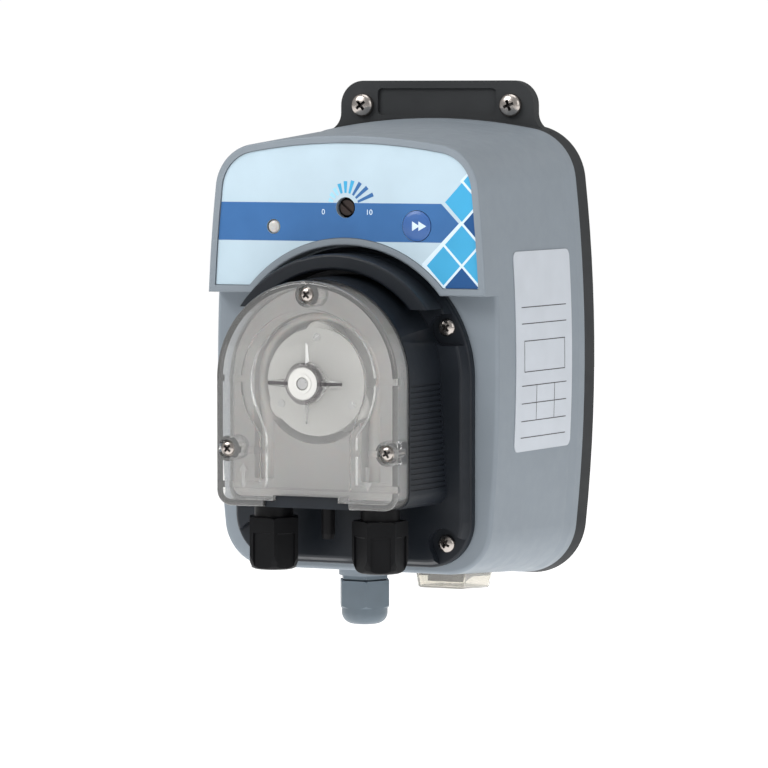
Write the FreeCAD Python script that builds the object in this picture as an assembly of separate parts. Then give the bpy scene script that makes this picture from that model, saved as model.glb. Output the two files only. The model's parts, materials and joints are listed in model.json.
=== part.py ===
import FreeCAD, Part
import math
import os

# Wall-hung peristaltic dosing pump, millimetres.
# +Z up, -Y towards the viewer, +X right as seen from the front, wall plane at y = 0.
# The shapes are drawn about the pump axis and moved down to the origin,
# which lies between the two wall screws, when they are saved.

V = FreeCAD.Vector

# Driving dimensions

run_fit = 0.05
hole_fit = 0.15
seat_gap = 0.3

# Screw sizes: shank radius, head radius, head height, recess width
wall_screw = (2.4, 4.8, 3.3, 1.1)
case_screw = (1.75, 3.45, 2.4, 0.9)
lid_screw = (1.5, 3.1, 2.2, 0.8)
small_screw = (1.25, 2.4, 1.7, 0.7)

# Rotor, tube and race
tube_radius = 4.0
tube_bore_radius = 2.4
tube_path_radius = 22.9
tube_pressed = 3.15
roller_radius = 6.4
roller_length = 12.0
roller_count = 3
disc_margin = 3.6
disc_thickness = 2.0
hub_radius = 6.5
shaft_radius = 2.5
pin_radius = 1.5
race_radius = tube_path_radius + tube_radius + run_fit
roller_orbit = race_radius - tube_pressed - roller_radius
disc_radius = roller_orbit + disc_margin
leg_wall = 4.1
roller_clearance = 0.5

# Pump head, drawn outwards from the race
race_surround = 12.05
body_half_front = race_radius + race_surround
body_flare = 0.9
body_foot = 2.9
body_half_back = body_half_front + body_flare
body_drop = 21.65
body_bottom_z = -race_radius - body_drop
body_corner = 5.5
body_wall = 2.7
arch_rise = 1.0
plate_margin = 12.3
plate_half_width = body_half_front + plate_margin
plate_drop = 25.4
plate_bottom_z = body_bottom_z - plate_drop
plate_corner = 18.5
platform_inset = 2.6
collar_inset = 2.1
collar_gap = 3.1
collar_inner_radius = body_half_back + collar_gap
collar_end_z = 28.0
head_screw_inset = 10.2
gasket_inset = 1.4
gasket_width = 1.5
head_screw_x = plate_half_width - head_screw_inset
head_screw_upper_z = 20.5
head_screw_lift = 9.8
head_screw_lower_z = plate_bottom_z + head_screw_lift
channel_bottom_z = 13.5
channel_radius = 6.2
rib_pitch = 2.1
rib_count = 20
rib_top_z = -0.6
rib_depth = 0.45
tongue_half = 13.6
tongue_wide_half = 18.0
tongue_height = 4.6
shelf_height = 2.4
tongue_reach = 9.4

# Case, drawn about the head
draft_angle = 4.0
case_wall = 3.0
case_half_width = 66.5
case_widest_z = 5.0
case_side_radius = 650.0
case_top_z = 101.3
case_top_radius = 240.0
case_foot = 8.1
case_bottom_z = plate_bottom_z - case_foot
case_corner = 22.0
corner_draft = 0.6
hood_edge_z = 33.0
arch_clearance = 0.9
hood_arch_radius = plate_half_width + arch_clearance
face_edge_round = 1.6
rim_width = 2.8
label_recess = 1.0
rear_band_height = 0.45
rear_band_flat = 5.0
rear_band_ramp = 6.0

# Depths, from the wall to the cover's front
joint_y = -9.0
hood_front_y = -95.0
hood_reach = 10.3
face_y = hood_front_y + hood_reach
plate_thickness = 3.6
plate_front_y = face_y - plate_thickness
platform_height = 4.0
platform_front_y = plate_front_y - platform_height
collar_front_y = -107.0
body_front_y = -120.0
pocket_depth = 21.0
body_floor_y = body_front_y + pocket_depth
tube_depth = 8.1
tube_y = body_front_y + tube_depth
race_floor_y = body_floor_y - 2.0
race_front_y = body_front_y + 0.2
lid_depth = 11.4
lid_front_y = body_front_y - lid_depth
lid_boss_height = 2.9
lid_boss_front_y = lid_front_y - lid_boss_height
shaft_front_y = lid_boss_front_y + 0.3

# Rear cover and its lug
cover_back_wall = 3.0
cover_flare = 1.7
cover_lead = 0.2
cover_screw_seat_y = -3.2
lug_thickness = 5.4
lug_rise = 5.7
wall_screw_height = case_top_z + lug_rise
wall_screw_spacing = 66.0
lug_end_radius = 10.1
lug_overlap = 11.3
lug_web_reach = 7.5
lug_web_drop = 4.9
lug_panel_half = 26.5
lug_panel_below = 4.0
lug_panel_above = 7.0
lug_panel_depth = 1.4
wall_shank_end = 20.0
wall_screw_point = 5.0
wall_screw_neck = wall_screw[0] - 0.35
seal_width = 1.5
seal_depth = 1.1
post_radius = 4.6
post_inset = 18.0
post_x = case_half_width - post_inset
upper_post_z = case_top_z - 18.3
lower_post_x = post_x - 2.0
lower_post_z = case_bottom_z + 21.1
screw_reach = 14.0

# Controls behind the hood
board_depth = 11.0
board_y = hood_front_y + board_depth
board_thickness = 1.6
board_margin = 25.5
board_half_width = case_half_width - board_margin
trimmer_rise = 14.8
trimmer_z = hood_arch_radius + trimmer_rise
board_bottom_z = trimmer_z - 10.8
board_top_z = trimmer_z + 17.5
board_screw_inset = 4.5
led_inset = 35.2
led_x = led_inset - case_half_width
led_z = trimmer_z - 7.7
led_radius = 2.75
trimmer_hole_radius = 4.1
trimmer_shaft_radius = 3.0
button_inset = 35.9
button_x = case_half_width - button_inset
board_screw_half = button_x - 10.6
button_z = trimmer_z - 6.9
button_radius = 5.95
button_travel = 0.5
overlay_thickness = 0.3
label_front_y = -69.8
label_back_y = -20.3
label_bottom_z = -29.3
label_top_z = 49.7
label_thickness = 0.26

# Clear cover
lid_half_width = body_half_front - 0.4
lid_bottom_z = body_bottom_z + 0.1
lid_corner = 6.0
lid_wall = 2.4
lid_round = 1.6
lid_socket = 2.7
lid_seat_y = lid_front_y + lid_socket
lid_screw_x = body_half_front - 5.0
lid_screw_z = body_bottom_z + 22.3
lid_screw_top_z = race_radius + 7.25
lid_boss_root = 8.6
lid_boss_tip = 7.3
lid_rib_reach = 15.6
bush_radius = 4.85
bush_cap_radius = 6.2
key_inner = race_radius - 2.65
key_outer = key_inner + 4.2
key_neck = tube_path_radius - 4.9
key_shoulder_z = -9.5
key_waist_z = -20.5
key_foot_z = body_bottom_z + 7.6
key_depth = 2.4

# Hose connections
nut_flats = 19.0
nut_gap = 5.2
nut_height = 20.5
nut_top_z = body_bottom_z - nut_gap
nut_bottom_z = nut_top_z - nut_height
nut_collar = 6.0
nut_floor = 7.3
hose_radius = 3.2
spigot_radius = 2.2
thread_radius = 7.6
shoulder_z = body_bottom_z + 9.6
spigot_top_z = shoulder_z + 9.0
drain_y = tube_y + 1.4
drain_radius = 2.65
drain_tip_z = body_bottom_z - 13.4

# Cable gland, from the housing's pad down
gland_x = -5.6
gland_y = -64.0
gland_flats = 19.0
gland_flange_flats = 17.6
gland_pad_radius = 10.3
gland_pad_z = case_bottom_z + 1.7
gland_pad_top_z = case_bottom_z + 7.9
gland_flange = 1.5
gland_nut_top_z = gland_pad_z - gland_flange - 0.6
gland_nut_hex_z = gland_nut_top_z - 11.1
gland_tip_z = gland_nut_hex_z - 6.6
gland_thread = 7.5
gland_sleeve_z = gland_nut_top_z - 8.5
cable_radius = 3.5
seal_seat_radius = 5.6
gland_turn = -2.5

# Mains rocker in the bottom wall
switch_inset = 36.5
switch_x = case_half_width - switch_inset
switch_y = -56.0
switch_width = 19.0
switch_length = 22.0
switch_depth = 17.0
switch_wall = 1.6
tab_length = 8.0
bezel_width = switch_width + 0.6
bezel_length = switch_length + 7.0
bezel_height = 1.2
boot_wall = 0.7
boot_width = bezel_width + 2.0
boot_length = bezel_length + 2.0
boot_height = 6.2
boot_draft = 0.8
rocker_tilt = 9.0
rocker_pivot_z = 1.6
trunnion_radius = 1.4
trunnion_reach = 0.9

# Gear train
gear_module = 0.8
gear_teeth = 36
pinion_teeth = 12
gear_backlash = 0.24
gear_addendum = 0.8
gear_dedendum = 1.2
flank_angle = 12.0
centre_play = 0.12
gearbox_wall = 2.5
gearbox_margin = 4.5
gearbox_front_y = face_y + case_wall
gearbox_split_y = gearbox_front_y + 13.0
gearbox_back_y = gearbox_split_y + 6.0
nose_length = 4.9
nose_radius = 11.5
nose_front_y = face_y - nose_length
bearing_radius = 6.5
bearing_length = 4.0
shaft_back_y = gearbox_back_y - 3.0
motor_radius = 15.0
motor_length = 35.0
motor_back_y = gearbox_back_y + motor_length
motor_shaft_radius = 1.0

# Transformer on the rear cover
transformer_inset = 48.5
transformer_x = transformer_inset - case_half_width
transformer_z = -44.0
transformer_back_y = -12.0
core_width = 36.0
core_height = 30.0
core_depth = 26.0
winding_width = 22.0
winding_height = 40.0
winding_reach = 5.0
strap_thickness = 2.0
strap_height = 12.0
strap_screw_x = core_width / 2 + 5.0

# Values that follow from the driving dimensions

slope = math.tan(math.radians(draft_angle))
gear_centres = gear_module * (gear_teeth + pinion_teeth) / 2 + centre_play
idler_x = gear_centres * math.sin(math.radians(45))
idler_z = gear_centres * math.cos(math.radians(45))
motor_z = 2 * idler_z
wheel_radius = gear_module * (gear_teeth / 2 + gear_addendum)
far = 2 * case_top_z

head_screw_points = [
    (side * head_screw_x, z)
    for side in (-1, 1)
    for z in (head_screw_upper_z, head_screw_lower_z)
]
lid_screw_points = [(-lid_screw_x, lid_screw_z), (lid_screw_x, lid_screw_z), (0, lid_screw_top_z)]
post_points = [
    (side * x, z)
    for side in (-1, 1)
    for x, z in ((post_x, upper_post_z), (lower_post_x, lower_post_z))
]
board_screw_points = [
    (side * x, z)
    for side in (-1, 1)
    for x, z in ((board_half_width - board_screw_inset, board_top_z - board_screw_inset),
                 (board_screw_half, board_bottom_z + board_screw_inset + 0.3))
]
wall_screw_points = [(side * wall_screw_spacing / 2, wall_screw_height) for side in (-1, 1)]
box_left = -wheel_radius - gearbox_wall - gearbox_margin
box_right = idler_x + wheel_radius + gearbox_wall + 0.4 * gearbox_margin
box_bottom = box_left + 2.0
box_top = box_right + gearbox_margin
gearbox_screw_points = [(x, z) for x in (box_left + 4.0, box_right - 4.0)
                        for z in (box_bottom + 4.0, box_top - 4.0)]


# Basic shapes

def drum(radius, y0, y1, x=0.0, z=0.0):
    return Part.makeCylinder(radius, y1 - y0, V(x, y0, z), V(0, 1, 0))


def post(radius, z0, z1, x=0.0, y=0.0):
    return Part.makeCylinder(radius, z1 - z0, V(x, y, z0), V(0, 0, 1))


def block(x0, x1, y0, y1, z0, z1):
    return Part.makeBox(x1 - x0, y1 - y0, z1 - z0, V(x0, y0, z0))


def prism(wire, y0, y1):
    face = Part.Face(wire)
    face.translate(V(0, y0 - face.BoundBox.YMin, 0))
    return face.extrude(V(0, y1 - y0, 0))


def outline(points, y=0.0):
    corners = [V(x, y, z) for x, z in points]
    return Part.makePolygon(corners + corners[:1])


def turned(profile, origin, axis):
    """Revolve (radius, height) pairs about an axis that starts at origin."""
    wire = Part.makePolygon([V(r, 0, h) for r, h in profile + profile[:1]])
    solid = Part.Face(wire).revolve(V(0, 0, 0), V(0, 0, 1), 360)
    if abs(axis.z) < 0.5:
        solid.rotate(V(0, 0, 0), V(0, 0, 1).cross(axis), 90)
    solid.translate(origin)
    return solid


def turned_y(profile, x=0.0, z=0.0):
    """Revolve (radius, y) pairs about a line along y."""
    return turned([(r, y) for r, y in profile], V(x, 0, z), V(0, 1, 0))


def turned_z(profile, x=0.0, y=0.0):
    """Revolve (radius, z) pairs about a line along z."""
    return turned(profile, V(x, y, 0), V(0, 0, 1))


def fused(shapes):
    whole = shapes[0].fuse(shapes[1:]) if len(shapes) > 1 else shapes[0]
    return whole.removeSplitter()


def rounded(shape, radius, chosen):
    edges = [edge for edge in shape.Edges if chosen(edge)]
    return shape.makeFillet(radius, edges)


def lies_at_y(edge, y):
    box = edge.BoundBox
    return abs(box.YMin - y) < 0.01 and abs(box.YMax - y) < 0.01


def lies_at_z(edge, z):
    box = edge.BoundBox
    return abs(box.ZMin - z) < 0.01 and abs(box.ZMax - z) < 0.01


def runs_along_y(edge, length):
    box = edge.BoundBox
    return box.YLength > length and box.XLength < 0.01 and box.ZLength < 0.01


def hexagon(flats, z0, z1, x, y, turn=0.0):
    reach = flats / math.sqrt(3)
    angles = [math.radians(60 * i + turn) for i in range(6)]
    corners = [V(x + reach * math.cos(a), y + reach * math.sin(a), z0) for a in angles]
    face = Part.Face(Part.makePolygon(corners + corners[:1]))
    return face.extrude(V(0, 0, z1 - z0))


def pan_screw(size, x, seat_y, z, end_y):
    """Pan head towards -y with a cross recess, shank towards +y."""
    shank, head, height, recess = size
    edge = 0.35 * height
    dome = Part.makeSphere(head * 1.25, V(x, seat_y - height + head * 1.25, z))
    body = drum(head, seat_y - height, seat_y, x, z).common(dome)
    body = body.fuse(drum(head, seat_y - edge, seat_y, x, z))
    arms = block(x - recess / 2, x + recess / 2, seat_y - height - 1, seat_y - height * 0.45,
                 z - shank, z + shank)
    cross = arms.copy()
    cross.rotate(V(x, 0, z), V(0, 1, 0), 90)
    body = body.cut(arms).cut(cross)
    return body.fuse(drum(shank, seat_y - 0.1, end_y, x, z)).removeSplitter()


def back_screw(size, x, seat_y, z, end_y):
    """The same screw turned to enter from behind."""
    screw = pan_screw(size, x, -seat_y, z, -end_y)
    return screw.mirror(V(0, 0, 0), V(0, 1, 0))


# Case outline: bowed sides, crowned top, flat bottom and round corners

def circles_meet(c1, r1, c2, r2, right):
    dx, dz = c2[0] - c1[0], c2[1] - c1[1]
    gap = math.hypot(dx, dz)
    along = (r1 * r1 - r2 * r2 + gap * gap) / (2 * gap)
    across = math.sqrt(r1 * r1 - along * along)
    x0, z0 = c1[0] + along * dx / gap, c1[1] + along * dz / gap
    options = [
        (x0 + across * dz / gap, z0 - across * dx / gap),
        (x0 - across * dz / gap, z0 + across * dx / gap),
    ]
    return max(options) if right else min(options)


def arc(centre, radius, a0, a1, y):
    points = []
    for angle in (a0, (a0 + a1) / 2, a1):
        points.append(V(centre[0] + radius * math.cos(angle), y, centre[1] + radius * math.sin(angle)))
    return Part.Arc(*points).toShape()


def case_outline(y, inset=0.0):
    """The case outline at one depth: every size shrinks with the draft and the inset."""
    shrink = slope * (joint_y - y)
    side_r = case_side_radius - shrink - inset
    top_r = case_top_radius - shrink - inset
    corner = case_corner - corner_draft * shrink - inset
    bottom = case_bottom_z + shrink + inset
    side_c = (case_half_width - case_side_radius, case_widest_z)
    top_c = (0.0, case_top_z - case_top_radius)
    upper = circles_meet(side_c, side_r - corner, top_c, top_r - corner, True)
    lower_z = bottom + corner
    lower = (side_c[0] + math.sqrt((side_r - corner) ** 2 - (lower_z - side_c[1]) ** 2), lower_z)
    top_a = math.atan2(upper[1] - top_c[1], upper[0] - top_c[0])
    side_top = math.atan2(upper[1] - side_c[1], upper[0] - side_c[0])
    side_low = math.atan2(lower[1] - side_c[1], lower[0] - side_c[0])
    half = [
        arc(lower, corner, -math.pi / 2, side_low, y),
        arc(side_c, side_r, side_low, side_top, y),
        arc(upper, corner, side_top, top_a, y),
    ]
    crown = arc(top_c, top_r, top_a, math.pi - top_a, y)
    other = [edge.mirror(V(0, 0, 0), V(1, 0, 0)) for edge in half]
    foot = Part.makeLine(V(-lower[0], y, bottom), V(lower[0], y, bottom))
    return Part.Wire(Part.__sortEdges__(half + [crown] + other + [foot]))


def case_loft(y0, y1, inset=0.0):
    return Part.makeLoft([case_outline(y0, inset), case_outline(y1, inset)], True, True)


def case_ring(y0, y1, outer, inner):
    return prism(case_outline(joint_y, outer), y0, y1).cut(prism(case_outline(joint_y, inner), y0, y1))


def arch_outline(half, bottom, corner, y=0.0, rise=0.0, foot=0.0):
    """Round top, straight sides that may spread towards the foot, rounded bottom corners."""
    low = half + foot
    top = arc((0, rise), half, 0, math.pi, y)
    right = arc((low - corner, bottom + corner), corner, -math.pi / 2, 0, y)
    left = arc((corner - low, bottom + corner), corner, math.pi, 1.5 * math.pi, y)
    lines = [
        Part.makeLine(V(low, y, bottom + corner), V(half, y, rise)),
        Part.makeLine(V(-half, y, rise), V(-low, y, bottom + corner)),
        Part.makeLine(V(corner - low, y, bottom), V(low - corner, y, bottom)),
    ]
    return Part.Wire(Part.__sortEdges__([top, right, left] + lines))


def head_prism(half, bottom, corner, y0, y1, rise=0.0):
    return prism(arch_outline(half, bottom, corner, 0.0, rise), y0, y1)


def shrunk(inset, y0, y1):
    """The flange's outline, moved in by an inset."""
    return head_prism(plate_half_width - inset, plate_bottom_z + inset, plate_corner - inset, y0, y1)


# Front housing

def under_hood(grow, y0, y1):
    """The space under the hood: all below its edge, and the arch over the pump head."""
    below = block(-far, far, y0, y1, -far, hood_edge_z + grow)
    return below.fuse(drum(hood_arch_radius + grow, y0, y1))


def label_recess_shape(shrink=0.0):
    back_y = hood_front_y + label_recess
    panel = prism(case_outline(hood_front_y, rim_width + shrink), hood_front_y - 1, back_y)
    return panel.cut(under_hood(rim_width + shrink, hood_front_y - 2, back_y + 1))


def make_front_housing():
    outer = case_loft(joint_y, hood_front_y)
    outer = outer.cut(under_hood(0.0, hood_front_y - 5, face_y))
    outer = rounded(outer, face_edge_round, lambda e: lies_at_y(e, face_y) and not arch_edge(e))
    outer = rounded(outer, 0.8, lambda e: lies_at_y(e, hood_front_y))
    band_y = joint_y - rear_band_flat
    band = Part.makeLoft([case_outline(joint_y, -rear_band_height),
                          case_outline(band_y, -rear_band_height),
                          case_outline(band_y - rear_band_ramp, 0.05)], True, True)
    outer = outer.fuse(band)
    inner_face = face_y + case_wall
    hood_wall_y = hood_front_y + label_recess + case_wall
    inside = case_loft(joint_y + 0.001, hood_wall_y, case_wall)
    inside = inside.cut(under_hood(case_wall, hood_wall_y - 5, inner_face))
    housing = outer.cut(inside)
    housing = housing.fuse([drum(post_radius, hood_wall_y - 0.5, joint_y, x, z)
                            for x, z in post_points if z > 0])
    housing = housing.fuse([drum(post_radius, inner_face - 0.5, joint_y, x, z)
                            for x, z in post_points if z < 0])
    housing = housing.fuse([drum(4.0, inner_face - 0.5, inner_face + 9, x, z)
                            for x, z in head_screw_points])
    housing = housing.fuse([drum(2.6, hood_wall_y - 0.5, board_y, x, z)
                            for x, z in board_screw_points])
    pad_split_z = gland_pad_z + 0.5 * (gland_pad_top_z - gland_pad_z)
    housing = housing.fuse([post(gland_pad_radius, gland_pad_z, pad_split_z + 0.1, gland_x, gland_y),
                            post(gland_pad_radius + 1.7, pad_split_z, gland_pad_top_z, gland_x, gland_y)])
    holes = [label_recess_shape()]
    holes += [drum(case_screw[0] + run_fit, joint_y - screw_reach - 2, joint_y + 1, x, z)
              for x, z in post_points]
    holes += [drum(case_screw[0] + run_fit, face_y - 1, face_y + 11, x, z) for x, z in head_screw_points]
    holes += [drum(small_screw[0] + run_fit, board_y - 5.5, board_y + 1, x, z)
              for x, z in board_screw_points]
    holes += [drum(small_screw[0] + run_fit, inner_face - 2.2, inner_face + 1, x, z)
              for x, z in gearbox_screw_points]
    holes.append(drum(nose_radius + 0.5, face_y - 1, inner_face + 1))
    holes.append(drum(led_radius + 0.1, hood_front_y, hood_wall_y + 1, led_x, led_z))
    holes.append(drum(trimmer_hole_radius, hood_front_y, hood_wall_y + 1, 0, trimmer_z))
    holes.append(drum(button_radius + 0.15, hood_front_y, hood_wall_y + 1, button_x, button_z))
    holes.append(post(gland_thread + 0.2, gland_pad_z - 5, gland_pad_top_z + 5, gland_x, gland_y))
    holes.append(on_bottom_wall(block(
        -switch_width / 2 - 0.2, switch_width / 2 + 0.2,
        -switch_length / 2 - 0.2, switch_length / 2 + 0.2, -3, 6)))
    return housing.cut(holes).removeSplitter()


def arch_edge(edge):
    """True for the round edge where the arch meets the front face, and the hood's edge line."""
    middle = edge.valueAt((edge.FirstParameter + edge.LastParameter) / 2)
    on_arch = abs(math.hypot(middle.x, middle.z) - hood_arch_radius) < 0.2
    return on_arch or abs(middle.z - hood_edge_z) < 0.2


def on_bottom_wall(shape):
    """Set a shape drawn with its outer face at z = 0 onto the sloping bottom wall."""
    seat_z = case_bottom_z + slope * (joint_y - switch_y)
    shape.rotate(V(0, 0, 0), V(1, 0, 0), -draft_angle)
    shape.translate(V(switch_x, switch_y, seat_z))
    return shape


def make_housing_gasket():
    return case_ring(joint_y, joint_y + seal_depth, 0.75, 0.75 + seal_width)


# Rear cover with the wall lug

def lug_shape():
    top = wall_screw_height + lug_end_radius
    end_x = wall_screw_spacing / 2
    y0, y1 = -lug_thickness, 0.0
    root = case_top_z - lug_overlap
    plate = block(-end_x, end_x, y0, y1, root, top)
    sides = block(-end_x - lug_end_radius, end_x + lug_end_radius, y0, y1, root, wall_screw_height)
    ends = [drum(lug_end_radius, y0, y1, x, z) for x, z in wall_screw_points]
    return fused([plate, sides] + ends)


def lug_web(side):
    """Concave blend between the lug's side and the cover's top edge."""
    x0 = side * (wall_screw_spacing / 2 + lug_end_radius)
    reach = lug_web_reach
    z0 = case_top_z - lug_web_drop
    left, right = sorted((x0, x0 + side * reach))
    corner = block(left, right, -lug_thickness, 0.0, z0 - 3, z0 + reach)
    return corner.cut(drum(reach, -lug_thickness - 1, 1, x0 + side * reach, z0 + reach))


def make_rear_cover():
    band = Part.makeLoft(
        [case_outline(joint_y, -cover_lead), flat_outline(0.0, -cover_flare)], True, True)
    band = rounded(band, 1.2, lambda e: lies_at_y(e, 0.0))
    cover = fused([band, lug_shape(), lug_web(1), lug_web(-1)])
    hollow = prism(case_outline(joint_y, case_wall), joint_y - 1, -cover_back_wall)
    cover = cover.cut(hollow)
    lip = case_ring(joint_y - 3.5, joint_y + 7, case_wall + 0.45, case_wall + 2.4)
    cover = cover.fuse(lip)
    bosses = [drum(post_radius + 0.6, joint_y + 0.0, -1, x, z) for x, z in post_points]
    feet = [drum(3.6, transformer_back_y, -1, x, z) for x, z in strap_screw_points()]
    web_half = post_x + 1.5
    webs = [block(-web_half, web_half, -cover_back_wall - 3.5, -1, z - 1, z + 1)
            for z in (upper_post_z - 28, lower_post_z + 56)]
    cover = cover.fuse(bosses + feet + webs)
    clear = [drum(post_radius + 0.3, joint_y - 5, joint_y, x, z) for x, z in post_points]
    holes = [drum(case_screw[0] + hole_fit, joint_y - 5, 1, x, z) for x, z in post_points]
    holes += [drum(case_screw[1] + 0.35, cover_screw_seat_y, 1, x, z) for x, z in post_points]
    holes += [drum(small_screw[0] + run_fit, transformer_back_y - 1, -cover_back_wall - 1, x, z)
              for x, z in strap_screw_points()]
    holes += [drum(wall_screw[0] + hole_fit, -lug_thickness - 1, 1, x, z) for x, z in wall_screw_points]
    panel = block(-lug_panel_half, lug_panel_half, -lug_thickness - 1, lug_panel_depth - lug_thickness,
                  wall_screw_height - lug_panel_below, wall_screw_height + lug_panel_above)
    panel = rounded(panel, 2.0, lambda e: runs_along_y(e, 1.0))
    groove = case_ring(joint_y - 1, joint_y + seal_depth, 0.65, 0.85 + seal_width)
    return cover.cut(clear + holes + [panel, groove]).removeSplitter()


def flat_outline(y, inset):
    """The joint's outline, carried straight back to another depth."""
    wire = case_outline(joint_y, inset)
    wire.translate(V(0, y - joint_y, 0))
    return wire


def strap_screw_points():
    return [(transformer_x + side * strap_screw_x, transformer_z) for side in (-1, 1)]


def make_rear_cover_screws():
    return Part.Compound([back_screw(case_screw, x, cover_screw_seat_y, z, joint_y - screw_reach)
                          for x, z in post_points])


def make_wall_screws():
    """Screws with a plain, thinner neck through the lug and a point at the far end."""
    thread_end = wall_shank_end - wall_screw_point
    necked = (wall_screw_neck,) + wall_screw[1:]
    screws = []
    for x, z in wall_screw_points:
        head = pan_screw(necked, x, -lug_thickness, z, 0.1)
        thread = drum(wall_screw[0], 0.0, thread_end, x, z)
        point = Part.makeCone(wall_screw[0], 0.3, wall_screw_point, V(x, thread_end, z), V(0, 1, 0))
        screws.append(fused([head, thread, point]).removeSplitter())
    return Part.Compound(screws)


# Labels

def make_panel_overlay():
    sheet = label_recess_shape(0.25)
    back = hood_front_y + label_recess
    sheet = sheet.common(block(-far, far, back - overlay_thickness, back, -far, far))
    holes = [
        drum(led_radius + 0.2, back - 5, back + 5, led_x, led_z),
        drum(trimmer_hole_radius, back - 5, back + 5, 0, trimmer_z),
        drum(button_radius + 0.25, back - 5, back + 5, button_x, button_z),
    ]
    return sheet.cut(holes)


def make_side_label():
    """Sticker that follows the bowed side, a hair off the wall."""
    skin = case_loft(joint_y - 0.5, label_front_y - 2, -run_fit - label_thickness)
    core = case_loft(joint_y - 0.4, label_front_y - 3, -run_fit)
    window = block(0.85 * case_half_width, case_half_width + 5,
                   label_front_y, label_back_y, label_bottom_z, label_top_z)
    window = rounded(window, 3.0, lambda e: e.BoundBox.XLength > 10)
    return skin.common(window).cut(core)


# Board and controls

def make_circuit_board():
    board = block(-board_half_width, board_half_width, board_y, board_y + board_thickness,
                  board_bottom_z, board_top_z)
    board = rounded(board, 3.0, lambda e: runs_along_y(e, 1.0))
    holes = [drum(small_screw[0] + hole_fit, board_y - 1, board_y + 3, x, z) for x, z in board_screw_points]
    return board.cut(holes)


def make_board_screws():
    seat = board_y + board_thickness
    return Part.Compound([back_screw(small_screw, x, seat, z, board_y - 4.5) for x, z in board_screw_points])


def make_status_led():
    tip = hood_front_y + label_recess - 0.6
    profile = [(0, board_y), (led_radius + 0.25, board_y), (led_radius + 0.25, board_y - 1.2),
               (led_radius, board_y - 1.2), (led_radius, tip + 1.4), (led_radius * 0.8, tip + 0.5),
               (led_radius * 0.45, tip + 0.1), (0, tip)]
    return turned_y(profile, led_x, led_z)


def make_trimmer_body():
    body = block(-5, 5, board_y - 4.6, board_y, trimmer_z - 5, trimmer_z + 5)
    body = rounded(body, 1.0, lambda e: runs_along_y(e, 1.0))
    return body.cut(drum(1.6, board_y - 6, board_y - 1.5, 0, trimmer_z))


def make_trimmer_shaft():
    face = board_y - 4.6 - 0.1
    tip = hood_front_y + label_recess + 1.2
    shaft = drum(trimmer_shaft_radius, tip, face, 0, trimmer_z)
    shaft = shaft.fuse(drum(1.55, face - 0.1, board_y - 1.6, 0, trimmer_z))
    slot = block(-4, 4, tip - 1, tip + 1.2, trimmer_z - 0.5, trimmer_z + 0.5)
    slot.rotate(V(0, 0, trimmer_z), V(0, 1, 0), 40)
    return shaft.cut(slot)


def make_prime_button():
    """Domed cap with a shoulder behind the wall and a stem over the push switch."""
    rim_y = hood_front_y + label_recess - overlay_thickness - 0.35
    wall_back = hood_front_y + label_recess + case_wall
    shoulder = button_radius + 1.2
    profile = [(0, rim_y - 0.75), (button_radius * 0.45, rim_y - 0.62), (button_radius * 0.8, rim_y - 0.3),
               (button_radius, rim_y + 0.1), (button_radius, wall_back + 0.1),
               (shoulder, wall_back + 0.1), (shoulder, wall_back + 0.9), (2.0, wall_back + 0.9),
               (2.0, wall_back + 1.4), (0, wall_back + 1.4)]
    return turned_y(profile, button_x, button_z)


def make_button_switch():
    stem_tip = hood_front_y + label_recess + case_wall + 1.4 + button_travel + 0.1
    body = block(button_x - 3, button_x + 3, board_y - 3.5, board_y, button_z - 3, button_z + 3)
    return fused([body, drum(1.75, stem_tip, board_y - 3.4, button_x, button_z)])


# Pump head moulding

def pocket(x, z):
    """Round pocket about a corner screw, open towards the outside corner."""
    outward = V(x, 0, z + 10).normalize()
    side = V(-outward.z, 0, outward.x)
    centre = V(x, plate_front_y - 20, z)
    far = centre + outward * 16
    near_half, far_half = side * (channel_radius - 0.1), side * 12
    corners = [centre + near_half, far + far_half, far - far_half, centre - near_half]
    wedge = Part.Face(Part.makePolygon(corners + corners[:1])).extrude(V(0, 20, 0))
    return wedge.fuse(drum(channel_radius, plate_front_y - 20, plate_front_y, x, z))


def channel(side):
    """Straight way to an upper screw, cut along the collar and the body's side."""
    top_z = channel_bottom_z + 2 * channel_radius
    x0, x1 = sorted((side * head_screw_x, side * (plate_half_width + 10)))
    cut = block(x0, x1, body_front_y - 1, plate_front_y, channel_bottom_z, top_z)
    return cut.fuse(drum(channel_radius, body_front_y - 1, plate_front_y, side * head_screw_x,
                         channel_bottom_z + channel_radius))


def body_loft(grow, y0, y1):
    """The ribbed body: wider towards the flange, most of all at its foot."""
    def section(y):
        share = (y - body_front_y) / (platform_front_y - body_front_y)
        half = body_half_front + body_flare * share + grow
        return arch_outline(half, body_bottom_z - grow, body_corner + grow, y, arch_rise, body_foot * share)
    return Part.makeLoft([section(y0), section(y1)], True, True)


def side_grooves(side):
    """Fine level grooves down one side of the body."""
    y0, y1 = body_front_y + 1.0, platform_front_y - 1.2
    share = (y1 - body_front_y) / (platform_front_y - body_front_y)
    leg = arch_rise - body_bottom_z - body_corner
    grooves = []
    for index in range(rib_count):
        z = rib_top_z - index * rib_pitch
        x0 = body_half_front - rib_depth
        x1 = x0 + share * (body_flare + body_foot * (arch_rise - z) / leg)
        plan = [V(side * x0, y0, z), V(side * x1, y1, z),
                V(side * (x1 + 3), y1, z), V(side * (x0 + 3), y0, z)]
        face = Part.Face(Part.makePolygon(plan + plan[:1]))
        grooves.append(face.extrude(V(0, 0, -rib_pitch * 0.45)))
    return grooves


def head_cavity():
    half = body_half_front - body_wall
    return head_prism(half, body_bottom_z + body_wall, body_corner - 2, body_front_y - 1, body_floor_y,
                      arch_rise)


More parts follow.
